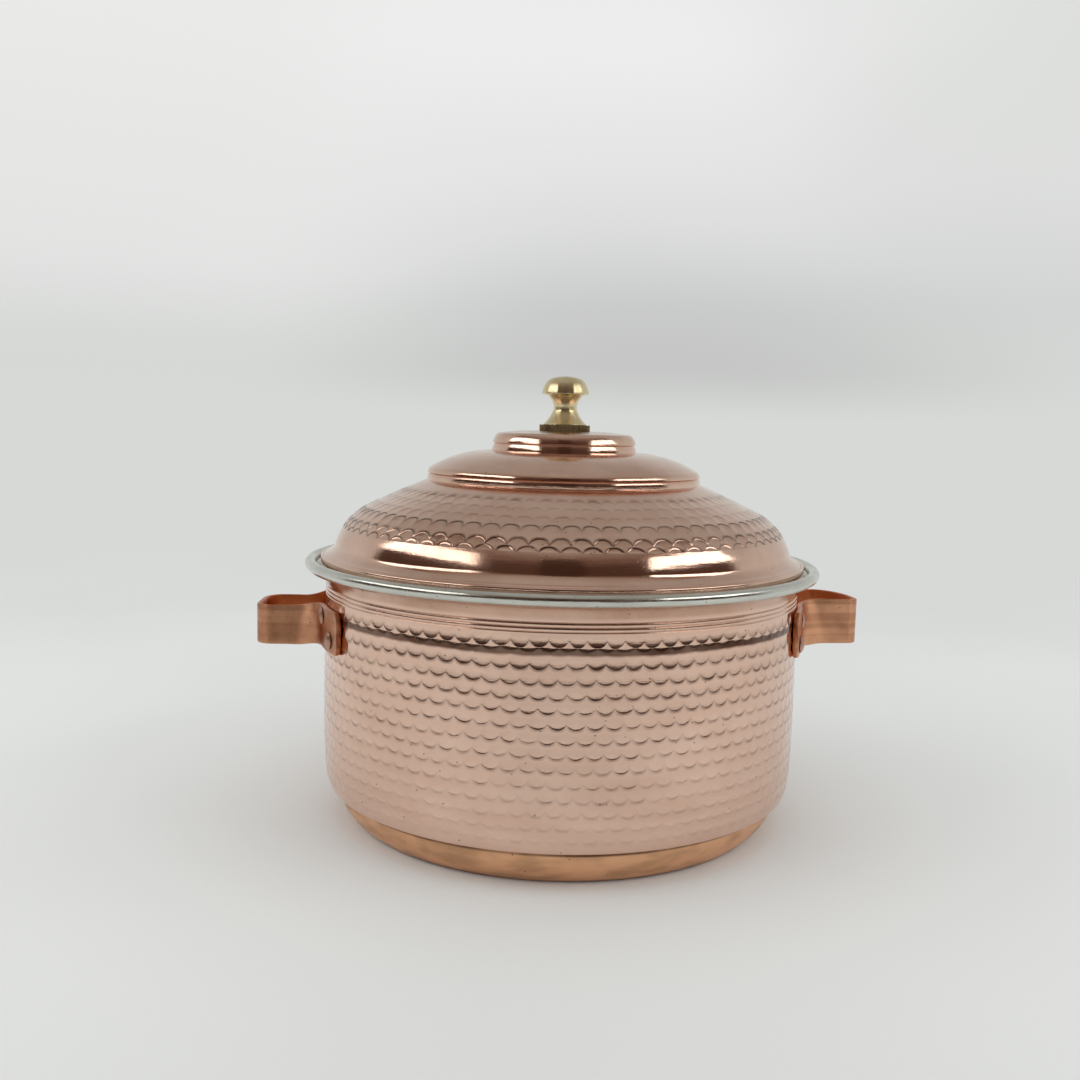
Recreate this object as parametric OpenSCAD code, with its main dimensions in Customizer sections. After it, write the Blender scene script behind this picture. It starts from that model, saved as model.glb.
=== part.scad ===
// Hammered copper serving pot with a lift-off lid.
// Z is the axis of revolution, z = 0 is the surface the pot stands on, the handles lie along X.

/* [Pot] */
// Outside diameter of the wall at its fullest
wall_d = 241; // [190:1:300]
// Height from the base to the centre of the rim bead
rim_z = 128.2; // [118:0.1:170]
// Thickness of the copper sheet of the pot
pot_sheet = 1.2; // [0.8:0.1:2]
// Diameter of the flat of the base
base_d = 207; // [150:1:215]
// Height of the plain base cup, up to the crease
base_h = 19.4; // [14:0.1:30]
// How far the side of the base cup bows outwards
base_bow = 1.6; // [0.2:0.1:3]
// How far the wall is drawn in above the crease
wall_draw_low = 1.3; // [0.4:0.1:4]
// How far the wall is drawn in under the neck
wall_draw_high = 0.6; // [0.4:0.1:2]
// Height of the fullest part of the wall
wall_full_z = 55; // [40:1:75]
// How far the wall overhangs the base cup
cup_step = 0.5; // [0.1:0.1:1.5]
// Width of the crease above the base cup
crease_w = 1.2; // [0.6:0.1:2]
// Depth of the crease above the base cup
crease_depth = 0.5; // [0.2:0.1:0.7]

/* [Turned bands and neck] */
// Height from the bead centre down to the foot of the neck
neck_drop = 10; // [9:0.1:14]
// Radius of the cove that flares the neck
neck_r = 8.4; // [8:0.1:11]
// Angle that the cove turns through
neck_turn = 60; // [50:1:65]
// Distance between the turned lines under the neck
band_pitch = 2; // [1.6:0.1:3]
// Number of turned lines under the neck
band_count = 3; // [1:1:4]
// Width of a turned line
band_w = 0.8; // [0.4:0.1:1.2]
// Depth of a turned line
band_depth = 0.35; // [0.1:0.05:0.6]

/* [Rolled rim] */
// Diameter of the wire inside the rolled rim
wire_d = 2.5; // [2:0.1:4]
// Clearance between the wire and the sheet rolled round it
wire_play = 0.05; // [0.04:0.01:0.2]
// How far the bead centre stands outside the wall
bead_out = 7.4; // [6.8:0.1:9]
// Angle at which the rolled edge ends under the bead
roll_end = -120; // [-130:1:-90]

/* [Tin] */
// Thickness of the tin lining
tin = 0.25; // [0.15:0.05:0.5]

/* [Handles] */
// Height from the middle of the handles up to the centre of the rim bead
handle_drop = 28.7; // [27:0.1:60]
// Height of the strap
strap_h = 20.5; // [14:0.5:26]
// Thickness of the strap
strap_t = 2.4; // [1.5:0.1:4]
// Width across the outside of the two legs
leg_span = 36; // [28:1:60]
// How far the handle stands out from the wall
handle_reach = 33; // [22:1:50]
// Outside radius of the two far corners
corner_r = 6.5; // [4:0.5:12]
// Inside radius of the bend from leg to foot
foot_bend_r = 3.8; // [3:0.1:8]
// Half angle round the pot that the feet reach
foot_reach = 27; // [24:0.5:34]
// How much further a foot spreads than the strap, above and below
foot_spread = 1.75; // [0.5:0.25:4]
// Length over which the strap spreads to a foot
spread_run = 7; // [4:0.5:12]
// How far each half of the spreading edge bows
spread_bow = 0.2; // [0.1:0.05:0.4]
// Radius of the corners of a foot
foot_corner_r = 4; // [1:0.5:7]
// Clearance between a foot and the fullest wall behind it
foot_gap = 0.15; // [0.05:0.05:0.4]

/* [Rivets] */
// Diameter of a rivet shank
rivet_d = 4; // [3:0.5:6]
// Diameter of the outer rivet head
rivet_head_d = 8.4; // [7:0.1:10]
// Height of the outer rivet head
rivet_head_h = 1.9; // [1:0.1:3]
// Height of the straight edge of the outer rivet head
rivet_edge_h = 0.5; // [0.2:0.1:0.8]
// Diameter of the closed head inside the pot
rivet_tail_d = 6.6; // [6.5:0.1:9]
// Thickness of the closed head inside the pot
rivet_tail_h = 0.9; // [0.5:0.1:2]
// Clearance round a rivet shank
rivet_play = 0.05; // [0.02:0.01:0.15]
// Angle round the pot of the rivet near the leg
rivet_inner_a = 14.8; // [13.5:0.1:16]
// Angle round the pot of the rivet near the end of the foot
rivet_outer_a = 22; // [19:0.1:23]
// How far the two rivets of a foot stand above and below its middle
rivet_stagger = 4.6; // [0:0.1:6]

/* [Lid] */
// Angle from the top of the neck's cove back to the place where the lid's edge rests
seat_back = 6.8; // [3:0.1:14]
// Thickness of the copper sheet of the lid
lid_sheet = 1; // [0.8:0.1:1.4]
// Clearance between the lid's edge and its seat in the neck
lid_gap = 0.3; // [0.1:0.05:1]
// How far the top of the lid's edge stands above the bead centre
edge_rise = 4.3; // [3.5:0.1:8]
// Width of the rolled corner at the top of the lid's edge
edge_fold = 1; // [0.6:0.1:1.2]
// Depth of the crease inside the rolled corner
edge_crease = 0.5; // [0.2:0.1:0.6]
// Width of the crease inside the rolled corner
edge_crease_w = 0.7; // [0.4:0.1:1]
// Width of the cove inside the lid's edge
cove_w = 7; // [5:0.1:9]
// Height of the cove inside the lid's edge
cove_h = 4.6; // [3:0.1:8]
// How far the cove bows inwards
cove_bow = 1.2; // [0.4:0.1:1.6]
// Width of the steep side of the dome
side_w = 4.8; // [3:0.1:9]
// Height of the steep side of the dome
side_h = 10.2; // [6:0.1:16]
// How far the steep side bows outwards
side_bow = 0.35; // [0.1:0.05:1]
// Width of the shoulder of the dome
shoulder_w = 10.1; // [8:0.1:16]
// Height of the shoulder of the dome
shoulder_h = 8.7; // [6:0.1:14]
// How far the shoulder bows outwards
shoulder_bow = 1; // [0.4:0.1:1.6]
// Height of the long slope of the dome
slope_h = 13.2; // [9:0.1:20]
// How far the long slope bows outwards
slope_bow = 0.2; // [0.1:0.1:1.5]

/* [Lid steps] */
// Diameter at the foot of the lower step
step_d = 143; // [110:1:160]
// Height of the lower step
step_h = 8.4; // [8:0.1:12]
// Height of the crown between the lower step and the top disc
crown_h = 7.7; // [5:0.1:12]
// How far the crown bows outwards
crown_bow = 1.5; // [0.5:0.1:2]
// Diameter of the top disc
disc_d = 74; // [50:1:90]
// Height of the side of the top disc
disc_h = 9.7; // [8:0.1:14]
// Rise of the top disc from its edge to the flat under the collar
disc_rise = 0.8; // [0.2:0.1:2]
// Radius of the rounded edges of the steps
round_r = 3; // [2:0.1:3.5]
// Angle that the rounded edge of the lower step turns through
round_turn = 63; // [50:1:70]
// Width of the fillet at the foot of each step
fillet_w = 1.8; // [0.8:0.1:2]
// Width of the turned groove in the side of each step
groove_w = 1; // [0.5:0.1:1.4]
// Depth of the turned groove in the side of each step
groove_depth = 0.4; // [0.1:0.05:0.5]

/* [Knob] */
// Height of the knob above its collar
knob_h = 24.6; // [23:0.1:36]
// Diameter of the knob's head
knob_d = 24.6; // [20:0.1:34]
// Height of the knob's head
knob_head_h = 9; // [7:0.1:9]
// How far the side of the head bows outwards
head_side_bow = 1; // [0.4:0.1:1.6]
// Diameter of the head where its side meets its crown
head_crown_d = 16.4; // [12:0.1:18]
// Height of the crown of the head
head_crown_h = 1.35; // [0.6:0.05:2.4]
// How far the crown of the head bows outwards
head_crown_bow = 0.55; // [0.2:0.05:1]
// Height of the outer rim of the head's underside above its inner rim
head_lip = 0.5; // [0.1:0.1:1]
// Width of the flat ring under the head
head_ledge = 2.8; // [1:0.1:3.5]
// Height of the cone under the head
head_cone_h = 5.3; // [4:0.1:5.5]
// How far the cone under the head bows inwards
cone_bow = 0.6; // [0.2:0.1:1]
// Diameter of the knob's waist
knob_waist_d = 12; // [11:0.1:13]
// Diameter of the knob's foot
knob_foot_d = 22; // [18:0.1:24]
// Height of the flare of the knob's foot
knob_flare_h = 7.6; // [6:0.1:8]
// How far the flare of the knob's foot bows inwards
flare_bow = 0.5; // [0.2:0.1:1]
// Height of the straight edge of the knob's foot
foot_edge_h = 0.4; // [0.2:0.1:1]
// Diameter of the knurled collar
collar_d = 25.8; // [24:0.1:34]
// Height of the knurled collar
collar_h = 2.9; // [2:0.1:6]
// Width of the flat that the collar leaves bare round it
collar_margin = 1; // [0.5:0.1:3]
// Number of teeth round the collar
knurl_count = 60; // [36:1:90]
// Depth of the knurl
knurl_depth = 0.5; // [0.2:0.1:0.8]

/* [Knob screw] */
// Diameter of the screw's shank
screw_d = 5; // [4:0.5:6]
// Clearance round the screw's shank
screw_play = 0.1; // [0.05:0.05:0.3]
// How far the screw reaches into the knob
screw_reach = 11; // [6:0.5:14]
// Depth of the knob's bore beyond the end of the screw
bore_spare = 1; // [0.5:0.1:3]
// Diameter of the screw's head
screw_head_d = 9; // [7.5:0.1:11]
// Height of the screw's head
screw_head_h = 2.8; // [2:0.1:5]
// Width of the slot in the screw's head
slot_w = 1.2; // [0.8:0.1:2]
// Depth of the slot in the screw's head
slot_depth = 1.3; // [0.5:0.1:1.5]
// Diameter of the washer
washer_d = 14; // [11.5:0.1:20]
// Thickness of the washer
washer_t = 1; // [0.5:0.1:2]

/* [Hidden] */
$fn = 180;

copper = [0.80, 0.52, 0.40];
copper_dark = [0.66, 0.42, 0.32];
tin_colour = [0.78, 0.79, 0.76];
brass = [0.80, 0.68, 0.40];
bronze = [0.36, 0.28, 0.20];
steel = [0.62, 0.63, 0.65];

// ---- Paths in the half plane (radius, height) ----

// Points of a circular arc about centre c
function arc(c, r, from, to, n) = [for (i = [0:n]) c + r * [cos(from + (to - from) * i / n),
    sin(from + (to - from) * i / n)]];

// Points of an arc from p to q that bows by sag to the right of the way it goes
function bow(p, q, sag, n = 8) =
    let (chord = norm(q - p))
    let (along = (q - p) / chord)
    let (right = [along[1], -along[0]])
    let (r = (chord * chord / 4 + sag * sag) / (2 * sag))
    let (centre = (p + q) / 2 - right * (r - sag))
    let (half = asin(chord / 2 / r))
    [for (i = [0:n]) let (a = half * (2 * i / n - 1)) centre + r * (right * cos(a) + along * sin(a))];

// Sagitta of a quarter circle of radius r
function quarter_sag(r) = r * (1 - cos(45));

// Leaves out each point that lies on the one before it
function merged(path) = [for (i = [0:len(path) - 1])
    if (i == 0 || norm(path[i] - path[max(i - 1, 0)]) > 0.001) path[i]];

function unit(v) = v / norm(v);
function left_of(v) = [-v[1], v[0]];
function backwards(path) = [for (i = [len(path) - 1:-1:0]) path[i]];

// Unit direction of the stretch that starts at point i
function heading(path, i) = unit(path[i + 1] - path[i]);

// Side step at point i that keeps both stretches that meet there one unit away, to the left
function side_step(path, i) =
    let (last = len(path) - 1)
    let (before = left_of(heading(path, max(i - 1, 0))))
    let (after = left_of(heading(path, min(i, last - 1))))
    (before + after) / (1 + before * after);

// The path moved by d to the left of the way it goes
function beside(path, d) = [for (i = [0:len(path) - 1]) path[i] + d * side_step(path, i)];

// Outline of the sheet between the path moved by a and the path moved by b
function between(path, a, b) = concat(beside(path, a), backwards(beside(path, b)));

// ---- Pot: the copper's outer face, from the middle of the base out and up ----

wall_r = wall_d / 2;
wall_low_r = wall_r - wall_draw_low;
wall_top_r = wall_r - wall_draw_high;
wall_low_z = base_h + crease_w;
neck_z = rim_z - neck_drop;
band_foot_z = neck_z - (band_count - 1) * band_pitch - band_w;
bead_c = [wall_top_r + bead_out, rim_z];
cove_c = [wall_top_r + neck_r, neck_z];
wire_r = wire_d / 2;
roll_r = wire_r + wire_play;

// Radius of the outer face of the wall at height z, above its fullest part
function wall_r_at(z) = wall_r - wall_draw_high * pow((z - wall_full_z) / (band_foot_z - wall_full_z), 2);

// Angle about the bead at which the sheet, coming straight from the neck, meets the wire
neck_end = cove_c - neck_r * [cos(neck_turn), -sin(neck_turn)];
to_neck = neck_end - bead_c;
roll_start = 360 + atan2(to_neck[1], to_neck[0]) - acos(roll_r / norm(to_neck));

cup_path = concat([[0, 0]], bow([base_d / 2, 0], [wall_low_r - cup_step, base_h], base_bow));
crease_path = [[wall_low_r - cup_step - crease_depth, base_h + crease_w / 3]];
wall_path = concat(bow([wall_low_r, wall_low_z], [wall_r, wall_full_z], wall_draw_low / 4, 6),
    bow([wall_r, wall_full_z], [wall_top_r, band_foot_z], wall_draw_high / 4, 6));
band_path = [for (i = [band_count - 1:-1:0]) let (z = neck_z - i * band_pitch - band_w)
    each [[wall_top_r, z], [wall_top_r - band_depth, z + band_w / 2], [wall_top_r, z + band_w]]];
rim_path = concat(arc(cove_c, neck_r, 180, 180 - neck_turn, 10), arc(bead_c, roll_r, roll_start, roll_end, 22));

pot_face = merged(concat(cup_path, crease_path, wall_path, band_path, rim_path));
pot_plain = merged(concat(cup_path, wall_path, rim_path));

// ---- Lid: the copper's outer face, from the foot of its edge up to the axis ----

seat_r = neck_r + pot_sheet + tin;
seat_turn = neck_turn - seat_back;
lid_r = cove_c[0] - seat_r * cos(seat_turn);
edge_z = neck_z + seat_r * sin(seat_turn) + lid_gap;
edge_top = [lid_r, rim_z + edge_rise];
cove_top = edge_top + [-cove_w, cove_h];
side_top = cove_top + [-side_w, side_h];
shoulder_top = side_top + [-shoulder_w, shoulder_h];
slope_top = [step_d / 2, shoulder_top[1] + slope_h];
step_r = step_d / 2 - fillet_w;
step_round_c = [step_r - round_r, slope_top[1] + step_h - round_r * sin(round_turn)];
disc_r = disc_d / 2;
crown_top = [disc_r + fillet_w / 2, slope_top[1] + step_h + crown_h];
disc_round_c = [disc_r - round_r, crown_top[1] + disc_h - round_r];
collar_z = crown_top[1] + disc_h + disc_rise;
flat_r = collar_d / 2 + collar_margin;

// A turned groove in an upright side at radius r, with its middle at height z
function groove(r, z) = [[r, z - groove_w / 2], [r - groove_depth, z], [r, z + groove_w / 2]];

cove_path = bow(edge_top, cove_top, -cove_bow, 9);
dome_path = concat(bow(cove_top, side_top, side_bow, 6), bow(side_top, shoulder_top, shoulder_bow, 8),
    bow(shoulder_top, slope_top, slope_bow, 6));
step_foot_path = bow(slope_top, [step_r, slope_top[1] + fillet_w], -quarter_sag(fillet_w), 4);
crown_path = concat(arc(step_round_c, round_r, 0, round_turn, 8),
    bow(step_round_c + round_r * [cos(round_turn), sin(round_turn)], crown_top, crown_bow, 8),
    bow(crown_top, [disc_r, crown_top[1] + fillet_w / 2], -quarter_sag(fillet_w / 2), 4));
disc_path = concat(arc(disc_round_c, round_r, 0, 90, 8), [[flat_r, collar_z], [0, collar_z]]);

// The rolled corner of the edge and the crease inside it
corner_path = concat(
    bow(edge_top - [0, edge_fold], edge_top - [edge_fold, 0], quarter_sag(edge_fold), 5),
    [edge_top - [edge_fold + edge_crease_w / 2, edge_crease]],
    [for (p = cove_path) if (p[0] < lid_r - edge_fold - edge_crease_w) p]);

lid_face = merged(concat([[lid_r, edge_z]], corner_path, dome_path, step_foot_path,
    groove(step_r, (slope_top[1] + fillet_w + step_round_c[1]) / 2), crown_path,
    groove(disc_r, (crown_top[1] + disc_round_c[1]) / 2), disc_path));
lid_plain = merged(concat([[lid_r, edge_z]], cove_path, dome_path, step_foot_path, crown_path, disc_path));

// ---- Places of the knob and its screw ----

knob_z = collar_z + collar_h;
screw_hole_r = screw_d / 2 + screw_play;
washer_z = collar_z - lid_sheet - tin - washer_t;

// ---- Places of the handles and rivets ----

handle_z = rim_z - handle_drop;
foot_h = strap_h + 2 * foot_spread;
foot_r = wall_r_at(max(wall_full_z, handle_z - foot_h / 2)) + foot_gap;
foot_mid_r = foot_r + strap_t / 2;
bend_r = foot_bend_r + strap_t / 2;
leg_y = (leg_span - strap_t) / 2;
bend_c = [sqrt(pow(foot_mid_r + bend_r, 2) - pow(leg_y + bend_r, 2)), leg_y + bend_r];
bend_a = atan2(bend_c[1], bend_c[0]);
far_x = wall_r + handle_reach - strap_t / 2;
turn_r = corner_r - strap_t / 2;

// Angle round the pot and height of a rivet: side and leg are 1 or -1, outer is 1 for the far rivet
function rivet_turn(side, leg, outer) = (side > 0 ? 0 : 180)
    + side * leg * (outer > 0 ? rivet_outer_a : rivet_inner_a);
function rivet_height(outer) = handle_z - outer * rivet_stagger;

// Puts its children, drawn along +X, at each rivet of the pot
module at_rivets(sides = [-1, 1]) {
    for (side = sides, leg = [-1, 1], outer = [-1, 1])
        at_rivet(side, leg, outer) children();
}

module at_rivet(side, leg, outer) {
    translate([0, 0, rivet_height(outer)]) rotate([0, 0, rivet_turn(side, leg, outer)]) children();
}

// A bore along +X through the wall and a foot
module rivet_bore() {
    translate([wall_r - wall_draw_low - pot_sheet * 4, 0, 0]) rotate([0, 90, 0])
        cylinder(r = rivet_d / 2 + rivet_play, h = handle_reach / 2, $fn = 48);
}

// ---- Pieces of the pot ----

module pot_body() {
    color(copper) difference() {
        rotate_extrude() polygon(concat(pot_face, backwards(beside(pot_plain, pot_sheet))));
        at_rivets() rivet_bore();
    }
}

module pot_lining() {
    color(tin_colour) difference() {
        rotate_extrude() polygon(between(pot_plain, pot_sheet, pot_sheet + tin));
        at_rivets() rivet_bore();
    }
}

module rim_wire() {
    color(steel) rotate_extrude() translate(bead_c) circle(r = wire_r, $fn = 36);
}

// ---- Handles ----

half_strap = concat([[far_x, 0]], arc([far_x - turn_r, leg_y - turn_r], turn_r, 0, 90, 8),
    arc(bend_c, bend_r, 270, 180 + bend_a, 8), arc([0, 0], foot_mid_r, bend_a, foot_reach, 8));
strap_path = merged(concat([for (p = backwards(half_strap)) [p[0], -p[1]]], half_strap));

// Upper edge of one leg and foot, seen along the handle: distance from its middle, height
foot_end = foot_r * sin(foot_reach);
spread_from = [leg_span / 2 + strap_t / 2, strap_h / 2];
spread_mid = spread_from + [spread_run, foot_spread] / 2;
spread_to = spread_from + [spread_run, foot_spread];
upper_edge = concat(bow(spread_from, spread_mid, -spread_bow, 4), bow(spread_mid, spread_to, spread_bow, 4),
    arc([foot_end, foot_h / 2] - [1, 1] * foot_corner_r, foot_corner_r, 90, 0, 6));

module foot_outline() {
    half = merged(concat([[0, strap_h / 2]], upper_edge));
    lower = [for (p = backwards(half)) [p[0], -p[1]]];
    other = [for (p = backwards(concat(half, lower))) [-p[0], p[1]]];
    polygon(concat(half, lower, other));
}

module handle() {
    color(copper_dark) difference() {
        intersection() {
            translate([0, 0, handle_z - foot_h]) linear_extrude(2 * foot_h)
                polygon(between(strap_path, -strap_t / 2, strap_t / 2));
            translate([0, 0, handle_z]) rotate([90, 0, 90]) linear_extrude(2 * wall_d) foot_outline();
        }
        at_rivets([1]) rivet_bore();
    }
}

module handle_right() {
    handle();
}

module handle_left() {
    rotate([0, 0, 180]) handle();
}

// ---- Rivets ----

rivet_head_x = foot_r + strap_t;

// A rivet along +X: closed head inside the pot, shank, and domed head outside the foot
module rivet(outer) {
    inside_r = wall_r_at(rivet_height(outer)) - pot_sheet - tin;
    tail_x = sqrt(pow(inside_r, 2) - pow(rivet_tail_d / 2, 2)) - rivet_play;
    dome = bow([rivet_head_d / 2, rivet_head_x + rivet_edge_h], [0, rivet_head_x + rivet_head_h],
        (rivet_head_h - rivet_edge_h) / 3, 8);
    color(copper_dark) rotate([0, 90, 0]) rotate_extrude($fn = 48) polygon(concat(
        [[0, tail_x - rivet_tail_h], [rivet_tail_d / 2 - rivet_tail_h / 2, tail_x - rivet_tail_h],
        [rivet_tail_d / 2, tail_x - rivet_tail_h / 3], [rivet_tail_d / 2, tail_x], [rivet_d / 2, tail_x],
        [rivet_d / 2, rivet_head_x], [rivet_head_d / 2, rivet_head_x]], dome));
}

module rivet_left_front_inner() { at_rivet(-1, -1, -1) rivet(-1); }
module rivet_left_front_outer() { at_rivet(-1, -1, 1) rivet(1); }
module rivet_left_rear_inner() { at_rivet(-1, 1, -1) rivet(-1); }
module rivet_left_rear_outer() { at_rivet(-1, 1, 1) rivet(1); }
module rivet_right_front_inner() { at_rivet(1, -1, -1) rivet(-1); }
module rivet_right_front_outer() { at_rivet(1, -1, 1) rivet(1); }
module rivet_right_rear_inner() { at_rivet(1, 1, -1) rivet(-1); }
module rivet_right_rear_outer() { at_rivet(1, 1, 1) rivet(1); }

// ---- Pieces of the lid ----

// Bore for the knob's screw, from below the washer up to height top
module screw_bore(top) {
    translate([0, 0, washer_z - washer_t]) cylinder(r = screw_hole_r, h = top - washer_z + washer_t, $fn = 48);
}

module lid_shell() {
    color(copper) difference() {
        rotate_extrude() polygon(concat(lid_face, backwards(beside(lid_plain, lid_sheet))));
        screw_bore(collar_z + collar_h);
    }
}

module lid_lining() {
    color(tin_colour) difference() {
        rotate_extrude() polygon(between(lid_plain, lid_sheet, lid_sheet + tin));
        screw_bore(collar_z + collar_h);
    }
}

module lid_knob() {
    head_z = knob_z + knob_h - knob_head_h;
    cone_top = [knob_d / 2 - head_ledge, head_z - head_lip];
    crown_edge = [head_crown_d / 2, head_z + knob_head_h - head_crown_h];
    profile = concat([[0, knob_z], [knob_foot_d / 2, knob_z]],
        bow([knob_foot_d / 2, knob_z + foot_edge_h], [knob_waist_d / 2, knob_z + knob_flare_h], -flare_bow),
        bow([knob_waist_d / 2, cone_top[1] - head_cone_h], cone_top, -cone_bow),
        bow([knob_d / 2, head_z], crown_edge, head_side_bow),
        bow(crown_edge, [0, head_z + knob_head_h], head_crown_bow));
    color(brass) difference() {
        rotate_extrude() polygon(profile);
        screw_bore(knob_z + screw_reach + bore_spare);
    }
}

module knob_collar() {
    tooth = 360 / knurl_count;
    ring = [for (i = [0:knurl_count - 1]) each [
        collar_d / 2 * [cos(i * tooth), sin(i * tooth)],
        (collar_d / 2 - knurl_depth) * [cos((i + 0.5) * tooth), sin((i + 0.5) * tooth)]]];
    color(bronze) difference() {
        translate([0, 0, collar_z]) linear_extrude(collar_h) polygon(ring);
        screw_bore(knob_z + collar_h);
    }
}

module knob_washer() {
    color(steel) difference() {
        translate([0, 0, washer_z]) cylinder(d = washer_d, h = washer_t, $fn = 64);
        screw_bore(collar_z);
    }
}

module knob_screw() {
    color(steel) difference() {
        union() {
            translate([0, 0, washer_z - screw_head_h]) cylinder(d = screw_head_d, h = screw_head_h, $fn = 64);
            translate([0, 0, washer_z]) cylinder(d = screw_d, h = knob_z + screw_reach - washer_z, $fn = 48);
        }
        translate([-screw_head_d, -slot_w / 2, washer_z - screw_head_h - slot_depth])
            cube([2 * screw_head_d, slot_w, 2 * slot_depth]);
    }
}

pot_body();
pot_lining();
rim_wire();
handle_left();
handle_right();
rivet_left_front_inner();
rivet_left_front_outer();
rivet_left_rear_inner();
rivet_left_rear_outer();
rivet_right_front_inner();
rivet_right_front_outer();
rivet_right_rear_inner();
rivet_right_rear_outer();
lid_shell();
lid_lining();
lid_knob();
knob_collar();
knob_screw();
knob_washer();
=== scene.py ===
"""Hammered copper serving pot with a lift-off lid, dressed in copper, tin and brass."""

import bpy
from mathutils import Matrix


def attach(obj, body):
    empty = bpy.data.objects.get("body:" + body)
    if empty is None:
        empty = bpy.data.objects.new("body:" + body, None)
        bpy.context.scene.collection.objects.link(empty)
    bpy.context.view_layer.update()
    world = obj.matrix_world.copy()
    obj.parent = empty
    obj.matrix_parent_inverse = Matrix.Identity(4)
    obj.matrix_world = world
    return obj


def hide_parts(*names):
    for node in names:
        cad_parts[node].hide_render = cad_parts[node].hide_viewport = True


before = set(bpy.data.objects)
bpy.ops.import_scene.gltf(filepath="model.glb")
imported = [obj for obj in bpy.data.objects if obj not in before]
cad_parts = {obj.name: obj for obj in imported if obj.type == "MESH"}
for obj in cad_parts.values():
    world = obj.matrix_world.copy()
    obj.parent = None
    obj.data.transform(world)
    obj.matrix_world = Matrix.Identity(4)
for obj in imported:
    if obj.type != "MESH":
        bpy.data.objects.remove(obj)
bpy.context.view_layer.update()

import logging
import math
from dataclasses import dataclass
from enum import Enum

import bpy
import numpy as np
from mathutils import Matrix, Vector

MM = 0.001
FULL_TURN = 2 * math.pi
DEGREES = 180 / math.pi
TINY = 1e-6
SAME_PLACE = 0.01
LOG = logging.getLogger("pot")

Material, Mesh, Object = bpy.types.Material, bpy.types.Mesh, bpy.types.Object
Node, Socket, Tree = bpy.types.Node, bpy.types.NodeSocket, bpy.types.NodeTree
FLOAT, VECTOR, WHOLE = "NodeSocketFloat", "NodeSocketVector", "NodeSocketInt"
FINISH, SOLID, GEOMETRY = "NodeSocketMaterial", "NodeSocketObject", "NodeSocketGeometry"


# ---- Nodes ----


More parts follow.
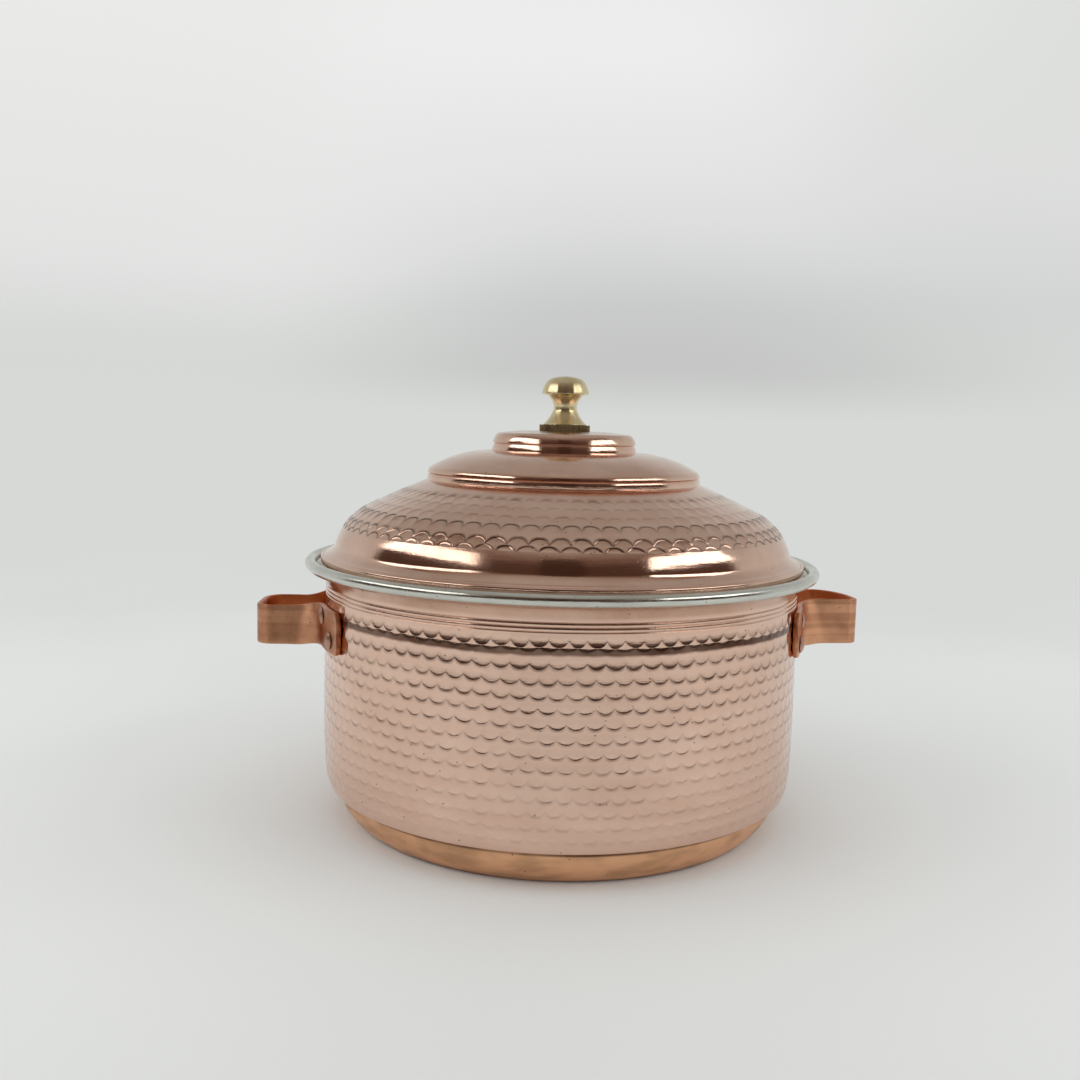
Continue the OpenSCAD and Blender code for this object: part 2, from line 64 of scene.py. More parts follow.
class Net:
    """Short ways to add and join the nodes of one tree."""

    def __init__(self, tree: Tree) -> None:
        """Args:
            tree: the tree that the nodes go into.
        """
        self.tree = tree

    def add(self, kind: str, inputs: dict | None = None, **settings: object) -> Node:
        """Adds a node.

        Args:
            kind: the node's type.
            inputs: socket name or number to a value or to another node's socket.
            settings: the node's own settings.

        Returns:
            The new node.
        """
        node = self.tree.nodes.new(kind)
        for name, value in settings.items():
            setattr(node, name, value)
        for key, value in (inputs or {}).items():
            self.put(node.inputs[key], value)
        return node

    def put(self, socket: Socket, value: object) -> None:
        """Joins a socket to another, or sets its value.

        Args:
            socket: the input.
            value: an output socket or a plain value.
        """
        if isinstance(value, Socket):
            self.tree.links.new(value, socket)
        elif isinstance(value, tuple) and len(value) == 3 and socket.type == "RGBA":
            socket.default_value = (*value, 1.0)
        else:
            socket.default_value = value

    def math(self, operation: str, *values: object) -> Socket:
        """Adds a Math node of one to three values and returns its result."""
        return self.add("ShaderNodeMath", dict(enumerate(values)), operation=operation).outputs[0]

    def times(self, first: object, *others: object) -> Socket:
        """Multiplies values.

        Args:
            first: value or socket that it starts from.
            others: what it is multiplied by in turn.

        Returns:
            The product.
        """
        for other in others:
            first = self.math("MULTIPLY", first, other)
        return first

    def line(self, value: object, gain: object, base: object) -> Socket:
        """Multiplies a value by a gain and adds a base."""
        return self.math("MULTIPLY_ADD", value, gain, base)

    def vector(self, operation: str, a: object, b: object = None) -> Socket:
        """Adds a Vector Math node.

        Args:
            operation: the node's operation.
            a: first vector.
            b: second vector, or the scale.

        Returns:
            The result.
        """
        second = "Scale" if operation == "SCALE" else 1
        node = self.add("ShaderNodeVectorMath", {0: a} if b is None else {0: a, second: b}, operation=operation)
        return node.outputs["Value" if operation in ("LENGTH", "DISTANCE") else "Vector"]

    def split(self, vector: Socket) -> list[Socket]:
        """Splits a vector into its three values."""
        return list(self.add("ShaderNodeSeparateXYZ", {0: vector}).outputs)

    def xyz(self, x: object = 0.0, y: object = 0.0, z: object = 0.0) -> Socket:
        """Joins three values into a vector."""
        return self.add("ShaderNodeCombineXYZ", {0: x, 1: y, 2: z}).outputs[0]

    def noise(self, place: Socket, scale: object, detail: float, **more: float) -> Socket:
        """Adds a Noise Texture node and returns its value."""
        given = {"Vector": place, "Scale": scale, "Detail": detail, **more}
        return self.add("ShaderNodeTexNoise", given).outputs["Fac"]

    def step(self, value: object, low: float, high: float) -> Socket:
        """Rises smoothly from 0 at low to 1 at high."""
        given = {"Value": value, "From Min": low, "From Max": high}
        return self.add("ShaderNodeMapRange", given, interpolation_type="SMOOTHSTEP").outputs[0]

    def window(self, value: object, low: tuple, high: tuple) -> Socket:
        """Gives 1 between two steps and 0 outside them; each step is given from its 0 to its 1."""
        return self.times(self.step(value, *low), self.step(value, *high))

    def mix(self, share: object, a: object, b: object) -> Socket:
        """Mixes two colours by the share of the second."""
        return self.add("ShaderNodeMix", {0: share, 6: a, 7: b}, data_type="RGBA").outputs[2]

    def ramp(self, value: object, stops: tuple, low: float = 0.0, high: float = 1.0) -> Socket:
        """Colours a value by a ramp.

        Args:
            value: the socket that is read.
            stops: pairs of a place and a colour.
            low: place of the ramp's left end.
            high: place of the ramp's right end.

        Returns:
            The colour.
        """
        if (low, high) != (0.0, 1.0):
            value = self.add("ShaderNodeMapRange", {"Value": value, "From Min": low, "From Max": high}).outputs[0]
        node = self.add("ShaderNodeValToRGB", {"Fac": value})
        bar = node.color_ramp.elements
        while len(bar) < len(stops):
            bar.new(0.5)
        for spot, (at, colour) in zip(bar, stops):
            spot.position = (at - low) / (high - low)
            spot.color = (*colour, 1.0)
        return node.outputs["Color"]

    def mark(self, name: str) -> Socket:
        """Reads a mark of the points.

        Args:
            name: name of the attribute.

        Returns:
            Its value.
        """
        if self.tree.type == "SHADER":
            return self.add("ShaderNodeAttribute", attribute_name=name).outputs["Fac"]
        node = self.add("GeometryNodeInputNamedAttribute", {"Name": name}, data_type="FLOAT")
        return next(s for s in node.outputs if s.enabled and s.name == "Attribute")

    def show(self, shader: Node, kind: str = "Material") -> None:
        """Joins a shader to the output of a material or a world."""
        self.add(f"ShaderNodeOutput{kind}", {"Surface": shader.outputs[0]})


def emptied(owner: Material | bpy.types.World) -> Net:
    """Empties the node tree of a material or a world.

    Args:
        owner: the material or the world.

    Returns:
        The net of its tree.
    """
    owner.use_nodes = True
    owner.node_tree.nodes.clear()
    return Net(owner.node_tree)


def group_net(kind: str, name: str, inputs: list[tuple], outputs: list[tuple]) -> tuple[Net, Node, Node]:
    """Starts a node group.

    Args:
        kind: type of its tree.
        name: its name.
        inputs: name, socket type and value of each input.
        outputs: name and socket type of each output.

    Returns:
        The group's net, its input node and its output node.
    """
    tree = bpy.data.node_groups.new(name, kind)
    for label, socket_type, value in inputs:
        socket = tree.interface.new_socket(label, in_out="INPUT", socket_type=socket_type)
        if value is not None:
            socket.default_value = value
    for label, socket_type in outputs:
        tree.interface.new_socket(label, in_out="OUTPUT", socket_type=socket_type)
    net = Net(tree)
    return net, net.add("NodeGroupInput"), net.add("NodeGroupOutput")


def geometry_tree(name: str, inputs: list[tuple]) -> tuple[Net, Node, Node]:
    """Starts a Geometry Nodes tree; it has the geometry and its material besides the inputs given."""
    inputs = [("Geometry", GEOMETRY, None), *inputs, ("Material", FINISH, None)]
    return group_net("GeometryNodeTree", name, inputs, [("Geometry", GEOMETRY)])


def finish_tree(net: Net, geometry: Socket, given: Node, out: Node) -> Tree:
    """Ends a Geometry Nodes tree in Realize Instances and Set Material.

    Args:
        net: the tree's net.
        geometry: what it has made.
        given: the input node, which has the material.
        out: the output node.

    Returns:
        The tree.
    """
    real = net.add("GeometryNodeRealizeInstances", {"Geometry": geometry}).outputs[0]
    dressed = net.add("GeometryNodeSetMaterial", {"Geometry": real, "Material": given.outputs["Material"]})
    net.put(out.inputs["Geometry"], dressed.outputs[0])
    return net.tree


# ---- Meshes and pieces ----


def linked(name: str, data: bpy.types.ID) -> Object:
    """Makes an object in the scene.

    Args:
        name: its name.
        data: its data.

    Returns:
        The object.
    """
    made = bpy.data.objects.new(name, data)
    bpy.context.collection.objects.link(made)
    return made


def plain_mesh(name: str, points: list, faces: list, marks: dict | None = None) -> Mesh:
    """Makes a mesh.

    Args:
        name: its name.
        points: its points in metres.
        faces: its faces.
        marks: name and values of each mark that the points carry.

    Returns:
        The mesh.
    """
    mesh = bpy.data.meshes.new(name)
    mesh.from_pydata(points, [], faces)
    for mark, values in (marks or {}).items():
        store = mesh.attributes.new(mark, "FLOAT", "POINT").data
        store.foreach_set("value", np.asarray(values, np.float32))
    return mesh


def smoothed(mesh: Mesh, sharp: float) -> None:
    """Smooths a mesh, but for edges that bend by more than so many degrees."""
    mesh.shade_smooth()
    mesh.set_sharp_from_angle(angle=math.radians(sharp))


def piece(name: str, mesh: Mesh, material: Material, sharp: float = 40.0) -> Object:
    """Makes an object of a mesh, smooth but for its sharp edges.

    Args:
        name: name of the piece.
        mesh: its mesh.
        material: its material.
        sharp: angle in degrees past which an edge stays sharp.

    Returns:
        The object.
    """
    mesh.name = name
    mesh.materials.clear()
    mesh.materials.append(material)
    mesh.validate()
    smoothed(mesh, sharp)
    return linked(name, mesh)


def grown(made: Object, tree: Tree, sizes: dict) -> Object:
    """Runs a Geometry Nodes tree on a piece and keeps its result as a plain mesh.

    Args:
        made: the piece.
        tree: the tree.
        sizes: input name to value, but for the material, which is the piece's own.

    Returns:
        The piece, with the result as its mesh and no modifier.
    """
    modifier = made.modifiers.new(tree.name, "NODES")
    modifier.node_group = tree
    sizes = {"Material": made.data.materials[0], **sizes}
    for item in tree.interface.items_tree:
        if item.item_type == "SOCKET" and item.in_out == "INPUT" and item.name in sizes:
            modifier[item.identifier] = sizes[item.name]
    graph = bpy.context.evaluated_depsgraph_get()
    result = bpy.data.meshes.new_from_object(made.evaluated_get(graph))
    made.modifiers.clear()
    made.data, old = result, made.data
    name = old.name
    bpy.data.meshes.remove(old)
    result.name = name
    return made


def dress_node(name: str, material: Material) -> None:
    """Gives a CAD node that stays as it is its finish.

    Args:
        name: the node's name.
        material: the finish.
    """
    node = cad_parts[name]
    node.data.materials.clear()
    node.data.materials.append(material)
    LOG.info("kept %s", name)


def keep(made: Object, body: str, nodes: list[str]) -> None:
    """Hangs a piece on its body in place of CAD nodes.

    Args:
        made: the piece.
        body: name of the body it rides.
        nodes: the nodes that it stands for.
    """
    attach(made, body)
    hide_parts(*nodes)
    LOG.info("made %s: %d faces", made.name, len(made.data.polygons))


# ---- Studio: camera, floor, lamps and the room that the metal mirrors ----


@dataclass(frozen=True)
class Softbox:
    """A soft lamp. Its corners are given as the pot sees them: turn from the front and height, in degrees."""

    name: str
    corners: tuple
    glow: float


@dataclass
class Studio:
    """Pale floor, two softboxes and a plain room. Lengths in metres, angles in degrees."""

    distance: float = 0.5632
    eye_height: float = 0.1994
    turn: float = 5.6
    pan: float = -1.147
    tilt: float = 6.105
    roll: float = 1.353
    lens: float = 36.43
    sensor: float = 36.0
    sight: float = 200.0
    floor_radii: tuple = (0.2, 0.4, 0.8, 1.6, 3.2, 6.4, 12.8, 40.0)
    floor_sides: int = 96
    pale: tuple = (0.68, 0.695, 0.675)
    ceiling: tuple = (0.46, 0.455, 0.44)
    lamp_distance: float = 1.6
    lamp_colour: tuple = (1.0, 0.995, 0.97)
    lamps: tuple = (
        Softbox("softbox_left", ((-41.2, 29.0), (-48.5, 46.5), (-101.0, 38.0), (-104.0, 26.0)), 2.6),
        Softbox("softbox_right", ((43.5, 29.0), (50.8, 46.5), (94.0, 39.0), (95.0, 26.0)), 2.6),
    )
    front_stops: tuple = ((0.0, (0.075, 0.043, 0.031)), (35.0, (0.09, 0.052, 0.038)), (40.0, (0.15, 0.10, 0.078)),
                          (47.0, (0.20, 0.145, 0.12)), (58.0, (0.37, 0.33, 0.30)), (90.0, ceiling))
    front_window: tuple = ((-108.0, -100.0), (98.0, 90.0))
    dark_patch: tuple = (0.05, 0.026, 0.018)
    dark_window: tuple = ((-13.0, -10.0), (14.0, 11.0))
    dark_top: tuple = (49.0, 45.0)
    dark_share: float = 0.8
    back_stops: tuple = ((0.0, pale), (22.0, (0.58, 0.59, 0.58)), (42.0, (0.43, 0.425, 0.41)),
                         (62.0, (0.41, 0.40, 0.385)), (90.0, ceiling))
    backdrop_stops: tuple = ((-90.0, pale), (0.0, pale), (6.0, (0.655, 0.67, 0.66)), (12.0, (0.765, 0.77, 0.765)),
                             (18.0, (0.84, 0.845, 0.84)), (90.0, (0.87, 0.875, 0.87)))
    # Veils over the backdrop: where each starts and is full on its own scale and in height, its share and colour; the
    # last is painted shade behind the pot.
    veils: tuple = (((0.36, 0.66), (2.0, 12.0), 0.10, (0.45, 0.455, 0.46)),
                    ((0.0, -0.3), (2.0, 8.0), 0.6, (0.83, 0.83, 0.82)),
                    ((0.1, 0.45), (8.0, 18.0), 0.7, (0.66, 0.68, 0.65)),
                    ((0.40, 0.08), (0.1, 3.2), 0.55, (0.47, 0.47, 0.47)))
    # Painted shade behind the pot: direction of its middle, and how much it is squeezed in height.
    backdrop_shade_spot: tuple = (0.085, 1.0, 0.055)
    backdrop_shade_flat: float = 2.5
    diffuse: tuple = (0.72, 0.73, 0.73)
    glow_from: tuple = (0.3, 1.9)
    paper_stops: tuple = ((0.3, (0.86, 0.87, 0.86)), (0.7, (0.91, 0.92, 0.91)))
    # Painted shadow on the floor in front of the pot: its middle, where it starts and is full, its share and colour.
    shade_spot: tuple = (-0.02, -0.46, 0.0)
    shade_reach: tuple = (0.38, 0.05)
    shade_share: float = 0.42
    shade: tuple = (0.60, 0.60, 0.59)

    def make_camera(self) -> None:
        """Makes the camera at its fitted place and turn."""
        pan, tilt, roll = (math.radians(a) for a in (self.pan, self.tilt, self.roll))
        ahead = Vector((math.sin(pan) * math.cos(tilt), math.cos(pan) * math.cos(tilt), -math.sin(tilt)))
        right = Vector((math.cos(pan), -math.sin(pan), 0.0))
        up = right.cross(ahead)
        right_rolled = right * math.cos(roll) + up * math.sin(roll)
        up_rolled = up * math.cos(roll) - right * math.sin(roll)
        stand = Matrix((right_rolled, up_rolled, -ahead)).transposed().to_4x4()
        stand.translation = Vector((0.0, -self.distance, self.eye_height))
        data = bpy.data.cameras.new("camera")
        data.lens, data.sensor_width, data.clip_end = self.lens, self.sensor, self.sight
        camera = linked("camera", data)
        camera.matrix_world = Matrix.Rotation(-math.radians(self.turn), 4, "Z") @ stand
        bpy.context.scene.camera = camera

    def toward(self, turn: float, height: float) -> Vector:
        """Direction from the pot, for a turn from the front and a height in degrees."""
        turn, height = math.radians(turn - self.turn), math.radians(height)
        return Vector((math.sin(turn) * math.cos(height), -math.cos(turn) * math.cos(height), math.sin(height)))

    def make_lamps(self) -> None:
        """Makes the softboxes as glowing panels that only light and reflections see."""
        for box in self.lamps:
            ways = [self.toward(*corner) for corner in box.corners]
            middle = sum(ways, Vector()).normalized()
            points = [way * (self.lamp_distance / way.dot(middle)) for way in ways]
            mesh = plain_mesh(box.name, points, [(0, 1, 2, 3)])
            mesh.materials.append(bpy.data.materials.new(box.name))
            net = emptied(mesh.materials[0])
            net.show(net.add("ShaderNodeEmission", {"Color": self.lamp_colour, "Strength": box.glow}))
            lamp = linked(box.name, mesh)
            lamp.visible_camera = False

    def room(self, net: Net, azimuth: Socket, rise: Socket) -> Socket:
        """Colours what the metal mirrors: a brown room in front with a dark patch, and pale walls behind.

        Args:
            net: the world's net.
            azimuth: turn from the front in degrees.
            rise: height in degrees.

        Returns:
            The colour.
        """
        dark = net.times(net.window(azimuth, *self.dark_window), net.step(rise, *self.dark_top), self.dark_share)
        front = net.mix(dark, net.ramp(rise, self.front_stops, 0.0, 90.0), self.dark_patch)
        back = net.ramp(rise, self.back_stops, 0.0, 90.0)
        return net.mix(net.window(azimuth, *self.front_window), back, front)

    def backdrop(self, net: Net, way: Socket, turned: list[Socket], rise: Socket) -> Socket:
        """Colours what the eye sees behind the pot: clouded, paler left, greener right, painted shade behind it.

        Args:
            net: the world's net.
            way: the direction.
            turned: its three values, turned so that the camera looks along y.
            rise: its height in degrees.

        Returns:
            The colour.
        """
        x, y, z = turned
        # Painted shade: distance from the middle of the darker spot behind the pot.
        away = net.vector("DISTANCE", net.xyz(x, y, net.times(z, self.backdrop_shade_flat)), self.backdrop_shade_spot)
        colour = net.ramp(rise, self.backdrop_stops, -90.0, 90.0)
        for scale, (reach, heights, share, shade) in zip((net.noise(way, 2.6, 1.0), x, x, away), self.veils):
            veil = net.times(net.step(scale, *reach), net.step(rise, *heights), share)
            colour = net.mix(veil, colour, shade)
        return colour

    def make_world(self) -> None:
        """Makes the room: a pale backdrop for the eye, and a plain studio for light and reflections."""
        world = bpy.data.worlds.new("studio")
        bpy.context.scene.world = world
        net = emptied(world)
        way = net.add("ShaderNodeTexCoord").outputs["Generated"]
        spin = {"Vector": way, "Angle": math.radians(self.turn)}
        turned = net.split(net.add("ShaderNodeVectorRotate", spin, rotation_type="Z_AXIS").outputs[0])
        x, y, z = turned
        azimuth = net.times(net.math("ARCTAN2", x, net.times(y, -1.0)), DEGREES)
        rise = net.times(net.math("ARCSINE", z), DEGREES)
        path = net.add("ShaderNodeLightPath")
        colour = net.mix(path.outputs["Is Diffuse Ray"], self.room(net, azimuth, rise), self.diffuse)
        colour = net.mix(path.outputs["Is Camera Ray"], colour, self.backdrop(net, way, turned, rise))
        net.show(net.add("ShaderNodeBackground", {"Color": colour, "Strength": 1.0}), "World")

    def make_paper(self) -> Material:
        """Makes the floor's paper: grained, with a painted shadow in front of the pot, glowing like the backdrop far
        away.

        Returns:
            The material.
        """
        material = bpy.data.materials.new("floor_paper")
        net = emptied(material)
        place = net.add("ShaderNodeTexCoord").outputs["Object"]
        far = net.step(net.vector("LENGTH", place), *self.glow_from)
        tone = net.ramp(net.noise(place, 2.4, 2.0), self.paper_stops)
        # Painted shadow: a soft darker patch on the floor in front of the pot.
        front = net.step(net.vector("DISTANCE", place, self.shade_spot), *self.shade_reach)
        tone = net.mix(net.times(front, self.shade_share), tone, self.shade)
        grain = net.noise(place, 260.0, 3.0)
        bump = net.add("ShaderNodeBump", {"Height": grain, "Strength": 0.06, "Distance": 0.002}).outputs[0]
        paper = net.add("ShaderNodeBsdfPrincipled", {"Base Color": tone, "Roughness": 0.85, "Normal": bump,
                                                     "Specular IOR Level": 0.1})
        glow = net.add("ShaderNodeEmission", {"Color": self.pale, "Strength": 1.0})
        net.show(net.add("ShaderNodeMixShader", {0: far, 1: paper.outputs[0], 2: glow.outputs[0]}))
        return material

    def make_floor(self) -> None:
        """Makes the pale floor, which keeps the shadow near the pot and meets the backdrop far away."""
        sides = self.floor_sides
        points = [(0.0, 0.0, 0.0)]
        faces: list[tuple[int, ...]] = []
        for k, radius in enumerate(self.floor_radii):
            for i in range(sides):
                a = FULL_TURN * i / sides
                points.append((radius * math.cos(a), radius * math.sin(a), 0.0))
                here, ahead = 1 + k * sides + i, 1 + k * sides + (i + 1) % sides
                faces.append((0, here, ahead) if k == 0 else (here - sides, here, ahead, ahead - sides))
        floor = linked("floor", plain_mesh("floor", points, faces))
        floor.data.materials.append(self.make_paper())

    def make(self) -> None:
        """Makes the whole studio."""
        self.make_camera()
        self.make_lamps()
        self.make_world()
        self.make_floor()
        bpy.context.scene.view_settings.view_transform = "Standard"


# ---- Paths in the half plane (radius, height), in millimetres ----


def arc(centre: tuple, radius: float, start: float, end: float, steps: int) -> list[tuple]:
    """Points of a circular arc.

    Args:
        centre: centre of the arc.
        radius: its radius.
        start: angle of the first point in degrees.
        end: angle of the last point.
        steps: number of chords.

    Returns:
        The points from start to end.
    """
    turns = np.radians(np.linspace(start, end, steps + 1))
    return [(centre[0] + radius * math.cos(a), centre[1] + radius * math.sin(a)) for a in turns]


def bow(p: tuple, q: tuple, sag: float, steps: int) -> list[tuple]:
    """Points of an arc from p to q.

    Args:
        p: first point.
        q: last point.
        sag: how far the arc bows to the right of the way it goes.
        steps: number of chords.

    Returns:
        The points.
    """
    p, q = np.array(p, float), np.array(q, float)
    chord = np.linalg.norm(q - p)
    along = (q - p) / chord
    right = np.array([along[1], -along[0]])
    radius = (chord * chord / 4 + sag * sag) / (2 * sag)
    centre = (p + q) / 2 - right * (radius - sag)
    half = math.asin(chord / 2 / radius)
    turns = half * np.linspace(-1.0, 1.0, steps + 1)
    return [tuple(centre + radius * (right * math.cos(a) + along * math.sin(a))) for a in turns]


def merged(path: list[tuple]) -> list[tuple]:
    """Leaves out each point that lies on the one before it.

    Args:
        path: the points.

    Returns:
        The points that stay.
    """
    kept = [path[0]]
    for point in path[1:]:
        if math.dist(point, kept[-1]) > SAME_PLACE:
            kept.append(point)
    return kept


def beside(path: list[tuple], gap: float) -> list[tuple]:
    """Moves a path to the left of the way it goes.

    Args:
        path: the points.
        gap: how far it moves.

    Returns:
        The moved points.
    """
    pts = np.array(path, float)
    way = np.diff(pts, axis=0)
    way /= np.linalg.norm(way, axis=1)[:, None]
    left = np.stack([-way[:, 1], way[:, 0]], axis=1)
    before, after = np.vstack([left[:1], left]), np.vstack([left, left[-1:]])
    shift = (before + after) / (1 + np.sum(before * after, axis=1))[:, None]
    return [tuple(p) for p in pts + gap * shift]


def softened(path: list[tuple], radius: float, steps: int, sharper: float = 25.0) -> list[tuple]:
    """Rounds the corners of a path.

    Args:
        path: the points.
        radius: how far from a corner the rounding starts, at most.
        steps: chords in each rounding.
        sharper: corners that turn by less than this many degrees stay.

    Returns:
        The rounded path.
    """
    pts = [np.array(p, float) for p in path]
    out = [tuple(pts[0])]
    for a, b, c in zip(pts, pts[1:], pts[2:]):
        u, v = (a - b) / np.linalg.norm(a - b), (c - b) / np.linalg.norm(c - b)
        turn = 180 - math.degrees(math.acos(max(-1.0, min(1.0, float(u @ v)))))
        if turn < sharper:
            out.append(tuple(b))
            continue
        reach = min(radius, 0.45 * np.linalg.norm(a - b), 0.45 * np.linalg.norm(c - b))
        for t in np.linspace(0.0, 1.0, steps + 1):
            out.append(tuple((1 - t) ** 2 * (b + u * reach) + 2 * t * (1 - t) * b + t * t * (b + v * reach)))
    out.append(tuple(pts[-1]))
    return out


def run_along(path: np.ndarray) -> np.ndarray:
    """Distance of each point from the first, along the path."""
    return np.concatenate([[0.0], np.cumsum(np.linalg.norm(np.diff(path, axis=0), axis=1))])


def coats(path: list[tuple], near: float, far: float) -> list[tuple]:
    """Both faces of a thin coat that lies between two distances from a path, from its start round its end."""
    return beside(path, near) + beside(path, far)[::-1]


# ---- Turned shells ----


class Shell:
    """A closed turned shell, built ring by ring along a path that keeps the outside on its right."""

    def __init__(self) -> None:
        """Starts an empty shell."""
        self.points: list[np.ndarray] = []
        self.faces: list[list[int]] = []
        self.marks: dict[str, list[np.ndarray]] = {}
        self.count = 0

    def ring(self, turns: np.ndarray, radius: object, height: object, marks: dict | None = None) -> np.ndarray:
        """Adds a ring of points.

        Args:
            turns: angle of each point in radians.
            radius: radius of each point in millimetres, or one for all.
            height: height of each point, or one for all.
            marks: values that the points carry.

        Returns:
            The numbers of the new points.
        """
        size = len(turns)
        radius, height = np.broadcast_to(radius, size), np.broadcast_to(height, size)
        self.points.append(np.stack([radius * np.cos(turns), radius * np.sin(turns), height], axis=1) * MM)
        for name in set(self.marks) | set(marks or {}):
            store = self.marks.setdefault(name, [np.zeros(self.count)] if self.count else [])
            store.append(np.asarray((marks or {}).get(name, np.zeros(size)), float))
        first, self.count = self.count, self.count + size
        return np.arange(first, self.count)

    def band(self, low: np.ndarray, high: np.ndarray) -> None:
        """Joins two rings by faces, whatever the ratio of their points.

        Args:
            low: the ring that comes first along the path.
            high: the ring that follows.
        """
        share_low, share_high = max(1, len(low) // len(high)), max(1, len(high) // len(low))
        for j in range(min(len(low), len(high))):
            under = [low[(share_low * j + k) % len(low)] for k in range(share_low + 1)]
            over = [high[(share_high * j + k) % len(high)] for k in range(share_high, -1, -1)]
            self.faces.append([int(i) for i in under + over])

    def pole(self, ring: np.ndarray, height: float, first: bool) -> None:
        """Closes the shell on its axis.

        Args:
            ring: the ring beside the axis.
            height: height of the pole in millimetres.
            first: True where the path starts there.
        """
        tip = int(self.ring(np.zeros(1), 0.0, height)[0])
        for a, b in zip(ring, np.roll(ring, -1)):
            self.faces.append([tip, int(b), int(a)] if first else [tip, int(a), int(b)])

    def path(self, path: list[tuple], turns: np.ndarray, start: np.ndarray | None = None) -> np.ndarray:
        """Adds a ring for each point of a path, joined from one to the next.

        Args:
            path: points (radius, height); a radius of 0 makes a pole.
            turns: angles of the points of each ring.
            start: the ring that the path goes on from.

        Returns:
            The last ring.
        """
        last, pole = start, None
        for radius, height in path:
            if radius < TINY:
                if last is None:
                    pole = height
                else:
                    self.pole(last, height, False)
                continue
            new = self.ring(turns, radius, height)
            if pole is not None:
                self.pole(new, pole, True)
                pole = None
            if last is not None:
                self.band(last, new)
            last = new
        return last

    def mesh(self, name: str) -> Mesh:
        """Makes the mesh, with the marks as attributes."""
        marks = {mark: np.concatenate(values) for mark, values in self.marks.items()}
        return plain_mesh(name, np.concatenate(self.points).tolist(), self.faces, marks)


def lathe(name: str, path: list[tuple], columns: int) -> Mesh:
    """Turns a path about the axis.

    Args:
        name: name of the mesh.
        path: points (radius, height); it starts and ends on the axis, or is closed.
        columns: number of faces round the axis.

    Returns:
        The mesh.
    """
    shell = Shell()
    turns = np.linspace(0.0, FULL_TURN, columns, endpoint=False)
    if path[0][0] > TINY:
        first = shell.ring(turns, *path[0])
        last = shell.path(path[1:], turns, first)
        shell.band(last, first)
    else:
        shell.path(path, turns)
    return shell.mesh(name)


# ---- Hammer work ----


@dataclass(frozen=True)
class DentRow:
    """A row of hammer dents: place of its centres along the surface, radius, depth and how steep the edge is; how
    dark the painted shade in its crease is, and the straight line that it starts from where it has one."""

    centre: float
    radius: float
    depth: float
    sharp: float
    half_turn: bool
    crease: float = 0.0
    lip: float = 0.0

    @property
    def struck(self) -> bool:
        """True where the hammer's edge bit a whole arc, whose crease is painted dark along its length."""
        return self.sharp > 9.0

    @property
    def dark(self) -> tuple[float, float]:
        """Least and most that the painted crease shade of one dent has of the row's."""
        return (0.8, 1.3) if self.struck else (0.45, 1.1)

    @property
    def dark_from(self) -> float:
        """Share of the radius past which the painted crease shade shows."""
        return 0.84 if self.struck else 1.0 - 0.7 / min(self.sharp, 8.0)

    @property
    def narrow(self) -> float:
        """How closely the painted crease shade keeps to the middle of the whole rim."""
        return 0.6 if self.struck else 2.5 if self.crease < 0.8 else 1.5

    @property
    def first_lines(self) -> tuple[float, float]:
        """How far the first two lines of the grid lie past the rim."""
        return (0.25, 0.65) if self.sharp > 4.7 else (0.35, 1.0)


